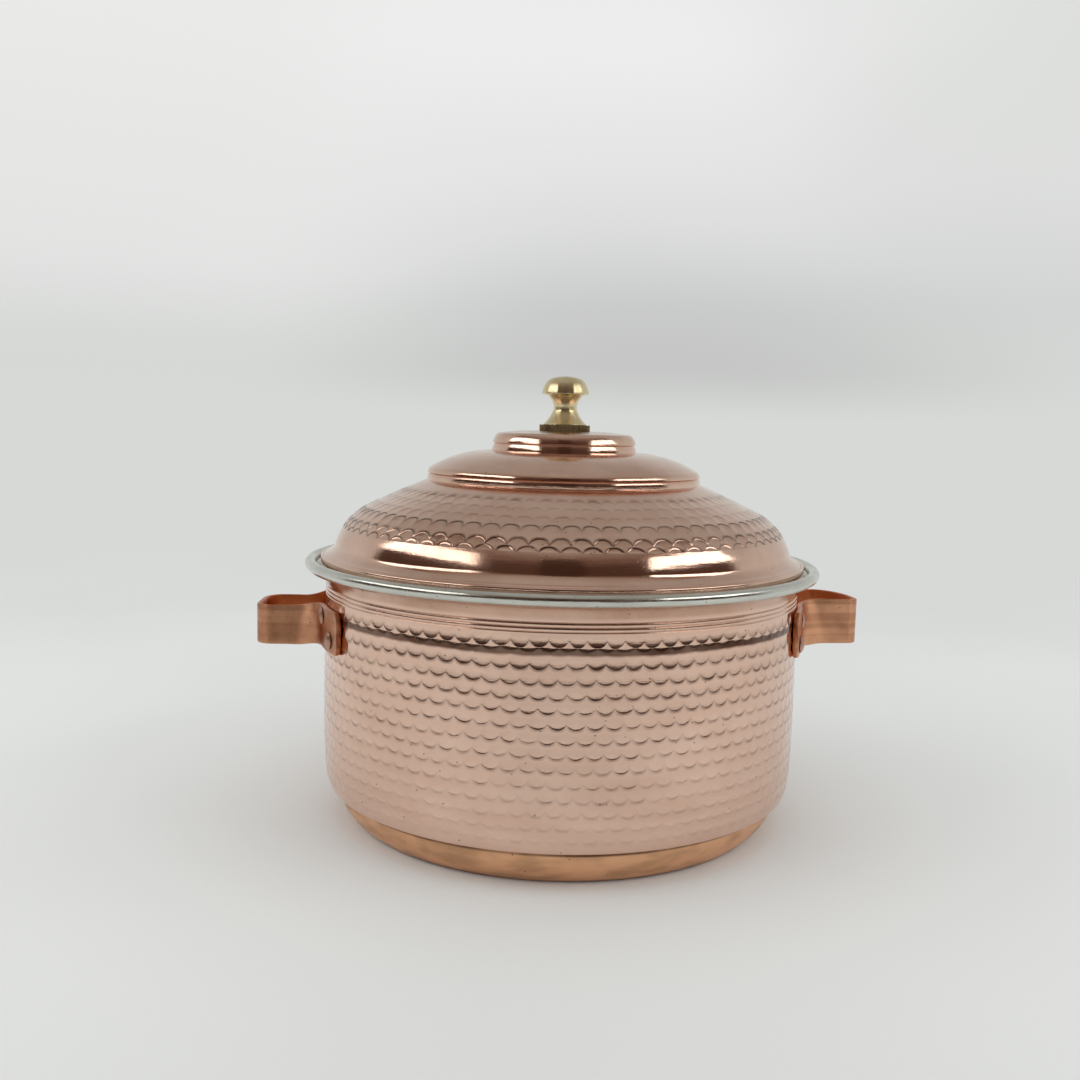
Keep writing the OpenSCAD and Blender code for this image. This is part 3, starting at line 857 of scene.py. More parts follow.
class HammerWork:
    """Rows of dents between two turned lines. Each row was struck over the one before it, so that its rims are whole
    arcs there, and the lines of the grid follow them."""

    STEPS = np.arange(8) / 8.0
    FLAT = 0.93
    RIM_GAP = 0.3
    LINE_GAP = 0.05
    ROW_LEAST = 0.25
    HIGH_LINES = (0.55, 0.8)
    LIP_LINES = (0.52, 0.8)
    SWAY_UP = (0.09, 0.05)
    SWAY_ASIDE = (0.16, 0.06)
    SWAY_FADE = 3.0

    def __init__(self, rows: list[DentRow], count: int, span: tuple, surface: np.ndarray, seed: int,
                 rising: bool) -> None:
        """Args:
            rows: the rows, in the order in which they were struck.
            count: dents in each row.
            span: where the work starts and ends along the surface.
            surface: rows of (place along the surface, radius, height).
            seed: seed of the hand's unsteadiness.
            rising: True where the rows were struck from low to high, with whole rims on their low side.
        """
        self.rows, self.count, self.surface = rows, count, surface
        self.low, self.high = span
        self.way = 1.0 if rising else -1.0
        self.columns = (np.arange(count)[:, None] + self.STEPS[None, :]).ravel()
        self.coarse = (np.arange(count)[:, None] + np.array([0.0, 0.5])[None, :]).ravel() * FULL_TURN / count
        rng = np.random.default_rng(seed)
        self.waves = [(rng.integers(2, 14), rng.uniform(0.02, 0.10), rng.uniform(0, 6.28)) for _ in range(8)]
        self.ripples = [(rng.integers(24, 62), rng.uniform(0.15, 0.45), rng.uniform(0, 6.28)) for _ in range(10)]

    def radius(self, place: np.ndarray) -> np.ndarray:
        """Radius of the surface at each place."""
        return np.interp(place, self.surface[:, 0], self.surface[:, 1])

    def across(self, row: DentRow, place: np.ndarray) -> tuple[np.ndarray, np.ndarray]:
        """Distance from the nearest centre of a row, along the row.

        Args:
            row: the row.
            place: place along the surface of each column's point.

        Returns:
            The signed distance in millimetres, and the number of the dent.
        """
        pitch = FULL_TURN * self.radius(place) / self.count
        shift = self.columns - (0.5 if row.half_turn else 0.0)
        number = np.round(shift)
        return (shift - number) * pitch, number % self.count

    def rim(self, row: DentRow) -> np.ndarray:
        """Whole rim of a row at each column, counted in the direction of the strikes."""
        dx, _ = self.across(row, np.full(len(self.columns), row.centre))
        return self.way * row.centre - np.sqrt(np.maximum(row.radius**2 - dx**2, (0.1 * row.radius) ** 2))

    def spread(self, row: DentRow, rim: np.ndarray, tall: np.ndarray) -> list[np.ndarray]:
        """Places the lines of the grid in a row, closer where its edge is steep.

        Args:
            row: the row.
            rim: its whole rim.
            tall: how far the row reaches past its rim.

        Returns:
            The places of its lines.
        """
        if row.lip:
            near = [np.full(len(rim), self.way * row.lip), rim, rim + np.minimum(0.8, 0.3 * tall)]
            return near + [rim + share * tall for share in self.LIP_LINES]
        first, second = row.first_lines
        near = [rim, rim + np.minimum(first, 0.4 * first * tall), rim + np.minimum(second, 0.34 * tall)]
        return near + [rim + share * tall for share in self.HIGH_LINES]

    def marks(self, row: DentRow, line: int, place: np.ndarray, weight: np.ndarray) -> dict:
        """Marks of the points of one line.

        Args:
            row: its row.
            line: its number in the row.
            place: its place.
            weight: how dark the painted shade in the crease of each dent is.

        Returns:
            The marks, but for how far the dent has run out.
        """
        dx, number = self.across(row, self.way * place)
        dy = place - self.way * row.centre
        reach = np.maximum(np.hypot(dx, dy) / row.radius, TINY)
        scale = np.ones(len(place))
        # The crease mark carries painted shade: along the lip's first lines, and elsewhere on the low side of each rim
        # near its edge.
        if row.lip:
            scale = np.full(len(place), self.FLAT) if line else 1.0 / reach
            crease = np.ones(len(place)) * (line < 2)
        else:
            if line == 0:
                scale = 1.0 / reach
            down = np.clip(-dy / row.radius / reach, 0.0, 1.0) ** row.narrow
            start = row.dark_from
            edge = np.clip((reach * scale - start) / (0.85 - 0.85 * start), 0.0, 1.0)
            crease = np.minimum(1.0, weight[number.astype(int)]) * down * edge
        return {"dent_across": dx / row.radius * scale, "dent_along": self.way * dy / row.radius * scale,
                "dent_depth": np.full(len(place), row.depth), "dent_sharp": np.full(len(place), row.sharp),
                "dent_number": number, "crease": crease}

    def lines(self) -> list[tuple[np.ndarray, dict]]:
        """Every line of the grid.

        Returns:
            Places along the surface and marks of the points of each line, from low to high.
        """
        size = len(self.columns)
        start, end = sorted((self.way * self.low, self.way * self.high))
        found = [(np.full(size, start), {})]
        rims = [self.rim(row) for row in self.rows] + [np.full(size, end)]
        for k in range(len(self.rows) - 1, 0, -1):
            rims[k - 1] = np.minimum(rims[k - 1], rims[k] - self.RIM_GAP)
        lips = [row.lip for row in self.rows[1:]] + [0.0]
        for k, row in enumerate(self.rows):
            rim = np.maximum(rims[k], found[-1][0] + self.LINE_GAP)
            top = np.full(size, self.way * lips[k]) if lips[k] else rims[k + 1]
            top = np.minimum(np.maximum(top, rim + self.ROW_LEAST), end)
            weight = row.crease * np.random.default_rng(k).uniform(*row.dark, self.count)
            fade_from = np.minimum(self.way * row.centre, rim + 0.45 * (top - rim))
            for line, place in enumerate(self.spread(row, rim, top - rim)):
                marks = self.marks(row, line, place, weight)
                marks["dent_rise"] = np.clip((place - fade_from) / (top - fade_from), 0.0, 1.0)
                marks["dent_number"] += 1000 * k
                found.append((place, marks))
        found.append((np.full(size, end), {}))
        return [(self.way * place, marks) for place, marks in found][:: int(self.way)]

    def unsteady(self, place: np.ndarray, turns: np.ndarray) -> tuple[np.ndarray, np.ndarray]:
        """Shifts points as a hand would that strikes by eye.

        Args:
            place: places along the surface.
            turns: angles about the axis.

        Returns:
            The moved places and angles.
        """
        below, above = (place - self.low) / self.SWAY_FADE, (self.high - place) / self.SWAY_FADE
        rest = np.clip(below, 0.0, 1.0) * np.clip(above, 0.0, 1.0)
        (up_wave, up_ripple), (side_wave, side_ripple) = self.SWAY_UP, self.SWAY_ASIDE
        up, aside = np.zeros(len(place)), np.zeros(len(place))
        for (round_wave, climb, phase), (round_ripple, lift, other) in zip(self.waves, self.ripples):
            wave, ripple = round_wave * turns, round_ripple * turns
            up += up_wave * np.sin(wave + climb * place + phase) + up_ripple * np.sin(ripple + lift * place + other)
            aside += (side_wave * np.cos(wave - climb * place + other)
                      + side_ripple * np.cos(ripple - lift * place + phase))
        return place + up * rest, turns + aside * rest / self.radius(place)

    def lay(self, shell: Shell, start: np.ndarray) -> np.ndarray:
        """Adds the hammered grid to a shell.

        Args:
            shell: the shell.
            start: the coarse ring that comes before.

        Returns:
            The last ring of the grid.
        """
        last = start
        turns = self.columns * FULL_TURN / self.count
        for place, marks in self.lines():
            moved, turned = self.unsteady(place, turns)
            height = np.interp(moved, self.surface[:, 0], self.surface[:, 2])
            new = shell.ring(turned, self.radius(moved), height, marks)
            shell.band(last, new)
            last = new
        return last


def hammer_tree() -> Tree:
    """Tree that sinks hammer dents into a surface whose points carry their place in a dent.

    Returns:
        The tree.
    """
    net, given, out = geometry_tree("hammer dents", [
        ("Depth", FLOAT, 0.00028), ("Shoulder", FLOAT, 3.0), ("Bite", FLOAT, 0.0), ("Bite Turn", FLOAT, -1.571),
        ("Variation", FLOAT, 0.15), ("Seed", WHOLE, 1)])
    depth, shoulder, bite, bite_turn, variation, seed = given.outputs[1:7]
    a, b = net.mark("dent_across"), net.mark("dent_along")
    reach = net.math("SQRT", net.math("ADD", net.times(a, a), net.times(b, b)))
    reach = net.math("MINIMUM", reach, 1.0)
    fall = net.math("SUBTRACT", 1.0, net.math("POWER", reach, net.mark("dent_sharp")))
    fall = net.times(fall, net.math("SUBTRACT", 1.0, net.math("POWER", net.mark("dent_rise"), shoulder)))
    number = net.math("ROUND", net.mark("dent_number"))
    dent = net.add("FunctionNodeRandomValue", {2: -1.0, 3: 1.0, "ID": number, "Seed": seed}, data_type="FLOAT")
    lean = net.math("ADD", net.times(a, net.math("COSINE", bite_turn)), net.times(b, net.math("SINE", bite_turn)))
    uneven = net.times(net.line(lean, bite, 1.0), net.line(dent.outputs[1], variation, 1.0))
    depth = net.times(net.times(depth, net.mark("dent_depth")), uneven, fall, -1.0)
    sunk = net.vector("SCALE", net.add("GeometryNodeInputNormal").outputs[0], depth)
    moved = net.add("GeometryNodeSetPosition", {"Geometry": given.outputs["Geometry"], "Offset": sunk})
    return finish_tree(net, moved.outputs[0], given, out)


# ---- Finishes ----


class Effects:
    """The shader groups that more than one finish uses."""

    def __init__(self) -> None:
        """Builds the groups."""
        self.turning = self.make_turning()
        self.wear = self.make_wear()
        self.specks = self.make_specks()
        self.brush = self.make_brush()

    @staticmethod
    def group(name: str, sizes: dict, outputs: tuple) -> tuple[Net, Node, list[Socket]]:
        """Starts a shader group that reads a position and some numbers and gives numbers.

        Args:
            name: its name.
            sizes: name and value of each number.
            outputs: names of what it gives.

        Returns:
            Its net, its output node, and the sockets of the position and the numbers.
        """
        inputs = [("Position", VECTOR, None)] + [(label, FLOAT, value) for label, value in sizes.items()]
        net, given, out = group_net("ShaderNodeTree", name, inputs, [(label, FLOAT) for label in outputs])
        return net, out, list(given.outputs)[:len(inputs)]

    @staticmethod
    def end_lines(net: Net, out: Node, spot: Socket, rough: float, broad: tuple, edges: tuple) -> Tree:
        """Ends a group of fine lines with their height and a mask of the bands among them.

        Args:
            net: the group's net.
            out: its output node.
            spot: the place, stretched along the lines.
            rough: roughness of the noise that draws them.
            broad: how much broader the bands are along each axis.
            edges: where a band starts and is full.

        Returns:
            The group.
        """
        net.put(out.inputs["Height"], net.noise(spot, 1.0, 3.0, Roughness=rough))
        bands = net.noise(net.vector("MULTIPLY", spot, broad), 1.0, 2.0)
        net.put(out.inputs["Mask"], net.step(bands, *edges))
        return net.tree

    def make_turning(self) -> Tree:
        """Fine lines that run round the axis, as a spinning tool or a polishing mop leaves them.

        Returns:
            The group.
        """
        net, out, (place, lines, length) = self.group("turning lines", {"Lines": 1500.0, "Length": 6.0},
                                                      ("Height", "Mask"))
        x, y, z = net.split(place)
        flat = net.xyz(x, y)
        run = net.math("ADD", net.vector("LENGTH", flat), net.times(z, 0.83))
        side_x, side_y, _ = net.split(net.vector("SCALE", net.vector("NORMALIZE", flat), length))
        spot = net.xyz(side_x, side_y, net.times(run, lines))
        return self.end_lines(net, out, spot, 0.6, (0.6, 0.6, 0.12), (0.35, 0.68))

    def make_brush(self) -> Tree:
        """Straight brush lines along a strap, whichever way it turns about the axis of the pot.

        Returns:
            The group.
        """
        net, out, (place, lines, length) = self.group("brush lines", {"Lines": 2400.0, "Length": 60.0},
                                                      ("Height", "Mask"))
        x, y, z = net.split(place)
        spot = net.xyz(net.times(x, length), net.times(y, length), net.times(z, lines))
        return self.end_lines(net, out, spot, 0.65, (0.5, 0.5, 0.16), (0.38, 0.66))

    def make_wear(self) -> Tree:
        """Handling: cloudy tarnish and thin scratches that cross at all angles.

        Returns:
            The group.
        """
        net, out, (place, cloud_size, scratch_size) = self.group(
            "handling", {"Cloud Size": 22.0, "Scratch Size": 90.0}, ("Cloud", "Scratches"))
        cloud = net.noise(place, cloud_size, 8.0, Roughness=0.68, Distortion=0.4)
        fine = net.times(scratch_size, 12.0)
        marks = None
        for turn, stretch in (((0.3, 0.5, 0.2), (1.0, 0.05, 1.0)), ((1.1, -0.4, 0.9), (0.05, 1.0, 1.0)),
                              ((-0.7, 0.9, -0.3), (1.0, 1.0, 0.06))):
            spin = {"Vector": place, "Rotation": turn}
            spun = net.add("ShaderNodeVectorRotate", spin, rotation_type="EULER_XYZ").outputs[0]
            line = net.step(net.noise(net.vector("MULTIPLY", spun, stretch), fine, 1.0), 0.70, 0.78)
            marks = line if marks is None else net.math("MAXIMUM", marks, line)
        patch = net.step(net.noise(place, scratch_size, 1.0), 0.42, 0.6)
        net.put(out.inputs["Cloud"], net.step(cloud, 0.35, 0.68))
        net.put(out.inputs["Scratches"], net.times(marks, patch))
        return net.tree

    def make_specks(self) -> Tree:
        """Small dark pits, thinly strewn.

        Returns:
            The group.
        """
        net, out, (place, scale, share) = self.group("specks", {"Scale": 500.0, "Share": 0.12}, ("Mask",))
        cells = net.add("ShaderNodeTexVoronoi", {"Vector": place, "Scale": scale})
        picked = net.add("ShaderNodeSeparateColor", {0: cells.outputs["Color"]}).outputs[0]
        near = net.step(cells.outputs["Distance"], 0.34, 0.12)
        net.put(out.inputs["Mask"], net.times(net.math("LESS_THAN", picked, share), near))
        return net.tree


class Lay(Enum):
    """The way the fine lines of a finish run."""

    TURNED = "turning"
    BRUSHED = "brush"


@dataclass
class Coat:
    """Colour and roughness of a metal while its layers are laid on it."""

    net: Net
    colour: object
    rough: object

    def tint(self, share: Socket, shade: object) -> None:
        """Lays a colour over the others by its share."""
        self.colour = self.net.mix(share, self.colour, shade)

    def roughen(self, share: Socket, gain: float) -> None:
        """Adds roughness by a share."""
        self.rough = self.net.line(share, gain, self.rough)


@dataclass(frozen=True)
class MetalFinish:
    """A metal finish. Colours are linear; line counts are per metre."""

    name: str
    colour: tuple
    deep: tuple
    tarnish: tuple
    rough: float
    rough_lines: float
    lay: Lay = Lay.TURNED
    lines: float = 1500.0
    length: float = 6.0
    line_bump: float = 0.03
    line_tint: float = 0.55
    tarnish_share: float = 0.35
    tarnish_rough: float = 0.5
    scratches: float = 0.25
    scratch_rough: float = 0.10
    specks: float = 0.012
    speck_scale: float = 700.0
    speck_tint: float = 0.22
    speck_rough: float = 0.3
    speck_depth: float = 0.6
    cup_below: float = 0.0
    cup_edge: float = 0.0004
    cup_colour: tuple = (0.86, 0.50, 0.29)
    cup_deep: float = 0.72
    cup_rough: float = 0.38
    cup_rough_lines: float = 0.12
    cup_bump: float = 5.0
    # Bands of painted shade (low, high, strength, colour), how soft their edges are and how patchy.
    painted_shade: tuple = ()
    painted_shade_edge: tuple = (1.3, 0.5)
    painted_shade_clouds: tuple = (0.5, 0.5)
    # Colour of the painted shade in the creases of the dents, and how patchy it is.
    crease: tuple = ()
    crease_shade_clouds: tuple = (0.2, 0.8)
    # Roughness added where the painted shade lies.
    painted_shade_rough: float = 0.12
    # Colour of a painted warm reflection on the faces marked inside.
    inside: tuple = ()
    uneven: float = 0.0
    uneven_scale: float = 260.0
    brushed: float = 0.0

    def lay_cup(self, coat: Coat, turning: Node, height: Socket, z: Socket) -> Socket:
        """Leaves the cup of the base raw from the lathe.

        Args:
            coat: the coat.
            turning: coarse turning lines.
            height: height of the fine lines.
            z: height above the floor.

        Returns:
            The height with the coarse lines.
        """
        net, mask = coat.net, turning.outputs["Mask"]
        cup = net.step(z, self.cup_below + self.cup_edge, self.cup_below - self.cup_edge)
        coat.tint(cup, net.mix(mask, self.cup_colour, tuple(c * self.cup_deep for c in self.cup_colour)))
        raw_rough = net.times(cup, net.line(mask, self.cup_rough_lines, self.cup_rough))
        coat.rough = net.math("ADD", net.times(coat.rough, net.math("SUBTRACT", 1.0, cup)), raw_rough)
        return net.line(net.times(turning.outputs["Height"], cup), self.cup_bump, height)

    def lay_painted_shade(self, coat: Coat, cloud: Socket, z: Socket) -> None:
        """Lays painted shade in bands round the pot, and dark painted shade in the creases of the dents.

        Args:
            coat: the coat.
            cloud: cloudy mask that makes it patchy.
            z: height above the floor.
        """
        net = coat.net
        # Bands of painted shade; on the pot a contact shadow at the foot, shade under the lip over the cup and shade on
        # the neck under the bead.
        for low, high, strength, shade in self.painted_shade:
            middle, half = (low + high) / 2, (high - low) / 2
            off = net.math("ABSOLUTE", net.math("SUBTRACT", z, middle))
            band = net.times(net.step(off, *(half * edge for edge in self.painted_shade_edge)), strength)
            coat.tint(net.times(band, net.line(cloud, *self.painted_shade_clouds)), shade)
            coat.roughen(band, self.painted_shade_rough)
        # Painted shade in the creases of the dents, patchy by the clouds.
        if self.crease:
            dark = net.times(net.mark("crease"), net.line(cloud, *self.crease_shade_clouds))
            coat.tint(dark, self.crease)
            coat.roughen(dark, self.painted_shade_rough)

    def brush(self, net: Net, metal: Node, place: Socket) -> None:
        """Draws the gleam out across the lines.

        Args:
            net: the material's net.
            metal: its shader.
            place: the place on the object.
        """
        net.put(metal.inputs["Anisotropic"], self.brushed)
        axis = net.xyz(z=1.0)
        if self.lay is Lay.TURNED:
            axis = net.vector("CROSS_PRODUCT", axis, place)
            net.put(metal.inputs["Anisotropic Rotation"], 0.25)
        net.put(metal.inputs["Tangent"], axis)

    def make(self, effects: Effects) -> Material:
        """Makes the material.

        Args:
            effects: the shader groups.

        Returns:
            The material.
        """
        material = bpy.data.materials.new(self.name)
        net = emptied(material)
        place = net.add("ShaderNodeTexCoord").outputs["Object"]
        z = net.split(place)[2]

        def group(tree: Tree, **sizes: float) -> Node:
            """Places a shared effect."""
            return net.add("ShaderNodeGroup", {"Position": place, **sizes}, node_tree=tree)

        lines = group(getattr(effects, self.lay.value), Lines=self.lines, Length=self.length)
        wear = group(effects.wear)
        specks = group(effects.specks, Scale=self.speck_scale, Share=self.specks).outputs["Mask"]
        mask, cloud, scratches = lines.outputs["Mask"], wear.outputs["Cloud"], wear.outputs["Scratches"]
        coat = Coat(net, self.colour, self.rough)
        coat.tint(net.times(mask, self.line_tint), self.deep)
        coat.tint(net.times(cloud, self.tarnish_share), self.tarnish)
        coat.roughen(mask, self.rough_lines)
        coat.roughen(cloud, self.rough * self.tarnish_rough)
        height = lines.outputs["Height"]
        if self.cup_below:
            height = self.lay_cup(coat, group(effects.turning, Lines=900.0, Length=9.0), height, z)
        self.lay_painted_shade(coat, cloud, z)
        # Painted reflection: the faces marked inside take the warm glow of the copper round them.
        if self.inside:
            coat.tint(net.mark("inside"), self.inside)
        coat.tint(specks, tuple(c * self.speck_tint for c in self.colour))
        coat.roughen(specks, self.speck_rough)
        coat.roughen(scratches, self.scratch_rough * self.scratches)
        height = net.math("SUBTRACT", height, net.times(scratches, self.scratches))
        height = net.math("SUBTRACT", height, net.times(specks, self.speck_depth))
        bump = {"Height": height, "Strength": self.line_bump, "Distance": MM}
        normal = net.add("ShaderNodeBump", bump).outputs[0]
        if self.uneven:
            bump = {"Height": net.noise(place, self.uneven_scale, 2.0), "Strength": 1.0, "Distance": self.uneven,
                    "Normal": normal}
            normal = net.add("ShaderNodeBump", bump).outputs[0]
        metal = net.add("ShaderNodeBsdfPrincipled", {"Base Color": coat.colour, "Metallic": 1.0,
                                                     "Roughness": coat.rough, "Normal": normal})
        if self.brushed:
            self.brush(net, metal, place)
        net.show(metal)
        return material


FINISHES = {
    "pot": MetalFinish("copper_polished", (0.79, 0.55, 0.44), (0.73, 0.485, 0.375), (0.66, 0.43, 0.325), 0.08, 0.05,
                       # Crease colour: painted shade in the creases of the dents.
                       cup_below=0.01745, crease=(0.085, 0.036, 0.02), uneven=0.00006,
                       # Bands of painted shade: a contact shadow at the foot, shade under the lip over the cup, shade
                       # on the neck under the bead.
                       painted_shade=((-0.001, 0.0014, 0.85, (0.22, 0.10, 0.06)), (0.0153, 0.0180, 1.0, (0.13, 0.06, 0.033)),
                              (0.1192, 0.1245, 0.8, (0.46, 0.27, 0.18)))),
    "lid": MetalFinish("copper_lid", (0.80, 0.555, 0.44), (0.72, 0.47, 0.36), (0.60, 0.37, 0.27), 0.08, 0.06,
                       # Crease colour: painted shade in the creases of the dents.
                       line_bump=0.05, tarnish_share=0.5, crease=(0.055, 0.028, 0.018), uneven=0.00004),
    "strap": MetalFinish("copper_strap", (0.88, 0.47, 0.28), (0.54, 0.25, 0.135), (0.48, 0.23, 0.13), 0.35, 0.08,
                         # Inside colour: a painted warm reflection on the inner faces of the loop.
                         Lay.BRUSHED, line_bump=0.30, tarnish_share=0.6, scratches=0.5, inside=(0.78, 0.25, 0.09),
                         brushed=0.95),
    "rivet": MetalFinish("copper_rivet", (0.58, 0.35, 0.26), (0.42, 0.23, 0.16), (0.34, 0.18, 0.12), 0.26, 0.10,
                         line_bump=0.12, tarnish_share=0.7),
    "tin": MetalFinish("tin", (0.66, 0.665, 0.61), (0.54, 0.545, 0.50), (0.48, 0.47, 0.41), 0.15, 0.08,
                       lines=1200.0, length=10.0, line_bump=0.10, specks=0.05, speck_scale=900.0),
    "brass": MetalFinish("brass_turned", (0.82, 0.72, 0.46), (0.74, 0.62, 0.36), (0.62, 0.46, 0.22), 0.17, 0.05,
                         lines=2600.0, line_bump=0.05, specks=0.01, brushed=0.85),
    "bronze": MetalFinish("bronze_dark", (0.48, 0.39, 0.22), (0.14, 0.10, 0.06), (0.10, 0.07, 0.05), 0.32, 0.15,
                          specks=0.3, speck_scale=900.0, line_bump=0.2),
    "steel": MetalFinish("steel_plain", (0.56, 0.57, 0.58), (0.45, 0.46, 0.47), (0.36, 0.35, 0.33), 0.28, 0.12,
                         line_bump=0.12),
}


# ---- The pot ----


@dataclass
class Part:
    """A sub-assembly, which takes its materials by name and the tree that sinks the hammer's dents."""

    finishes: dict
    hammer: Tree


@dataclass
class Pot(Part):
    """Hammered body with a rolled, tinned rim. Sizes in millimetres."""

    wall_r: float = 120.5
    wall_low: tuple = (118.2, 18.6)
    wall_tuck: float = 1.2
    wall_top_r: float = 119.9
    wall_full_z: float = 55.0
    plain_z: tuple = (18.6, 22.0, 26.0, 38.0, 55.0, 75.0, 95.0, 113.4)
    sheet: float = 1.2
    tin: float = 0.25
    tin_columns: int = 192
    base_rings: tuple = (60.0, 90.0)
    base_r: float = 103.5
    cup: tuple = (114.0, 17.0)
    cup_sag: float = 2.2
    crease: tuple = ((-3.4, -0.95), (-0.9, -0.75), (-0.25, -0.4), (0.0, 0.0))
    crease_round: float = 1.2
    neck_z: float = 118.2
    neck_r: float = 8.4
    neck_turn: float = 60.0
    bead: tuple = (127.3, 128.2)
    roll_r: float = 1.3
    roll_start: float = 215.2
    roll_end: float = -120.0
    line_feet: tuple = (113.4, 115.4, 117.4)
    line_width: float = 0.8
    line_depth: float = 0.35
    line_sharp: float = 1.3
    line_gap: float = 0.35
    hammered: tuple = (21.6, 113.0)
    dents: int = 94
    dent_radius: float = 4.9
    dent_depth: float = 0.3
    row_rims: tuple = (23.4, 28.8, 34.5, 40.8, 47.2, 53.7, 60.0, 66.3, 72.7, 79.2, 85.2, 91.3, 98.0)
    # Start and change of each row's depth, sharpness and painted crease shade, from low to high.
    row_trends: tuple = ((0.95, 0.2), (4.8, -1.7), (0.2, 0.75))
    lip: tuple = (104.5, 106.2)
    lip_row: tuple = (1.2, 12.0)
    net_rim: float = 107.35
    net_row: tuple = (4.5, 1.3, 2.2)
    seed: int = 5

    def wall(self, height: float) -> float:
        """Radius of the wall at a height.

        Args:
            height: the height.

        Returns:
            The radius of the outer face.
        """
        if height < self.wall_full_z:
            share = (self.wall_full_z - height) / (self.wall_full_z - self.wall_low[1])
            lean = (self.wall_r - self.wall_low[0] - self.wall_tuck) * share**2
            return self.wall_r - lean - self.wall_tuck * share**8
        share = (height - self.wall_full_z) / (self.line_feet[0] - self.wall_full_z)
        return self.wall_r - (self.wall_r - self.wall_top_r) * share**2

    def rim_path(self, neck_steps: int, roll_steps: int) -> list[tuple]:
        """Outer face of the flared neck and the rolled bead."""
        neck = arc((self.wall_top_r + self.neck_r, self.neck_z), self.neck_r, 180.0, 180.0 - self.neck_turn, neck_steps)
        return neck + arc(self.bead, self.roll_r, self.roll_start, self.roll_end, roll_steps)

    def base_path(self) -> list[tuple]:
        """Outer face from the axis to the foot of the hammered wall.

        Returns:
            Its points.
        """
        cup = bow((self.base_r, 0.0), self.cup, self.cup_sag, 9)
        r, z = self.wall_low
        crease = [(r + aside, z + up) for aside, up in self.crease]
        foot = [(self.wall(z + up), z + up) for up in (1, 2)]
        near, far = ((ring, 0.0) for ring in self.base_rings)
        return [(0.0, 0.0), near] + softened([far] + cup + crease + foot, self.crease_round, 4)

    def top_path(self) -> list[tuple]:
        """Outer face from the top of the hammered wall to the edge of the sheet under the bead.

        Returns:
            Its points.
        """
        start = self.hammered[1] + self.line_gap
        path = [(self.wall(start), start)]
        for foot in self.line_feet:
            for share in np.linspace(0.0, 1.0, 7):
                sunk = self.line_depth * math.sin(math.pi * share) ** self.line_sharp
                path.append((self.wall_top_r - sunk, foot + self.line_width * share))
        return merged(path + self.rim_path(12, 26))

    def plain_path(self) -> list[tuple]:
        """Outer face without its lines and crease, which the inner faces follow."""
        wall = [(self.wall(z), z) for z in self.plain_z]
        return merged([(0.0, 0.0)] + bow((self.base_r, 0.0), self.cup, self.cup_sag, 6) + wall + self.rim_path(10, 24))

    def hammer_rows(self) -> list[DentRow]:
        """Rows of dents from the base cup to the turned lines.

        Returns:
            The rows, in the order in which they were struck.
        """
        rows, radius = [], self.dent_radius
        for k, z in enumerate(self.row_rims):
            share = k / (len(self.row_rims) - 1)
            depth, sharp, crease = (start + change * share for start, change in self.row_trends)
            rows.append(DentRow(z + radius, radius, depth, sharp, k % 2 == 1, crease))
        half_turn = len(rows) % 2 == 1
        rows.append(DentRow(self.lip[1] + radius, radius, *self.lip_row, half_turn, 1.0, self.lip[0]))
        rows.append(DentRow(self.net_rim + self.net_row[0], *self.net_row, not half_turn, 1.0))
        return rows

    def make_copper(self) -> Object:
        """Makes the copper body.

        Returns:
            The piece.
        """
        heights = np.linspace(self.wall_low[1], self.line_feet[0], 200)
        surface = np.array([(z, self.wall(z), z) for z in heights])
        work = HammerWork(self.hammer_rows(), self.dents, self.hammered, surface, self.seed, rising=True)
        shell = Shell()
        last = shell.path(self.base_path(), work.coarse)
        last = work.lay(shell, last)
        last = shell.path(self.top_path(), work.coarse, last)
        inner = beside(self.plain_path(), self.sheet)
        shell.path([(r if r > TINY else 0.0, z) for r, z in reversed(inner)], work.coarse, last)
        made = piece("pot_copper", shell.mesh("pot_copper"), self.finishes["pot"])
        grown(made, self.hammer, {"Depth": self.dent_depth * MM, "Seed": self.seed})
        smoothed(made.data, 50.0)
        return made

    def make_tin(self) -> Object:
        """Makes the tin coat, which shows inside and round the bead.

        Returns:
            The piece.
        """
        path = coats(self.plain_path(), self.sheet, self.sheet + self.tin)
        path[0], path[-1] = (0.0, path[0][1]), (0.0, path[-1][1])
        mesh = lathe("pot_tin", [(max(r, 0.0), z) for r, z in path], self.tin_columns)
        return piece("pot_tin", mesh, self.finishes["tin"])

    def make(self) -> None:
        """Makes the body and its tin, and dresses its wire."""
        keep(self.make_copper(), "pot", ["pot_body"])
        keep(self.make_tin(), "pot", ["pot_lining"])
        dress_node("rim_wire", self.finishes["steel"])


# ---- The handles ----


@dataclass(frozen=True)
class StrapForm:
    """What the hand left different on each strap, in millimetres: its low and high edge, those of its feet, and the
    reach of its front and rear corners along x and y."""

    side: int
    strap_z: tuple
    foot_z: tuple
    front_corner: tuple
    rear_corner: tuple


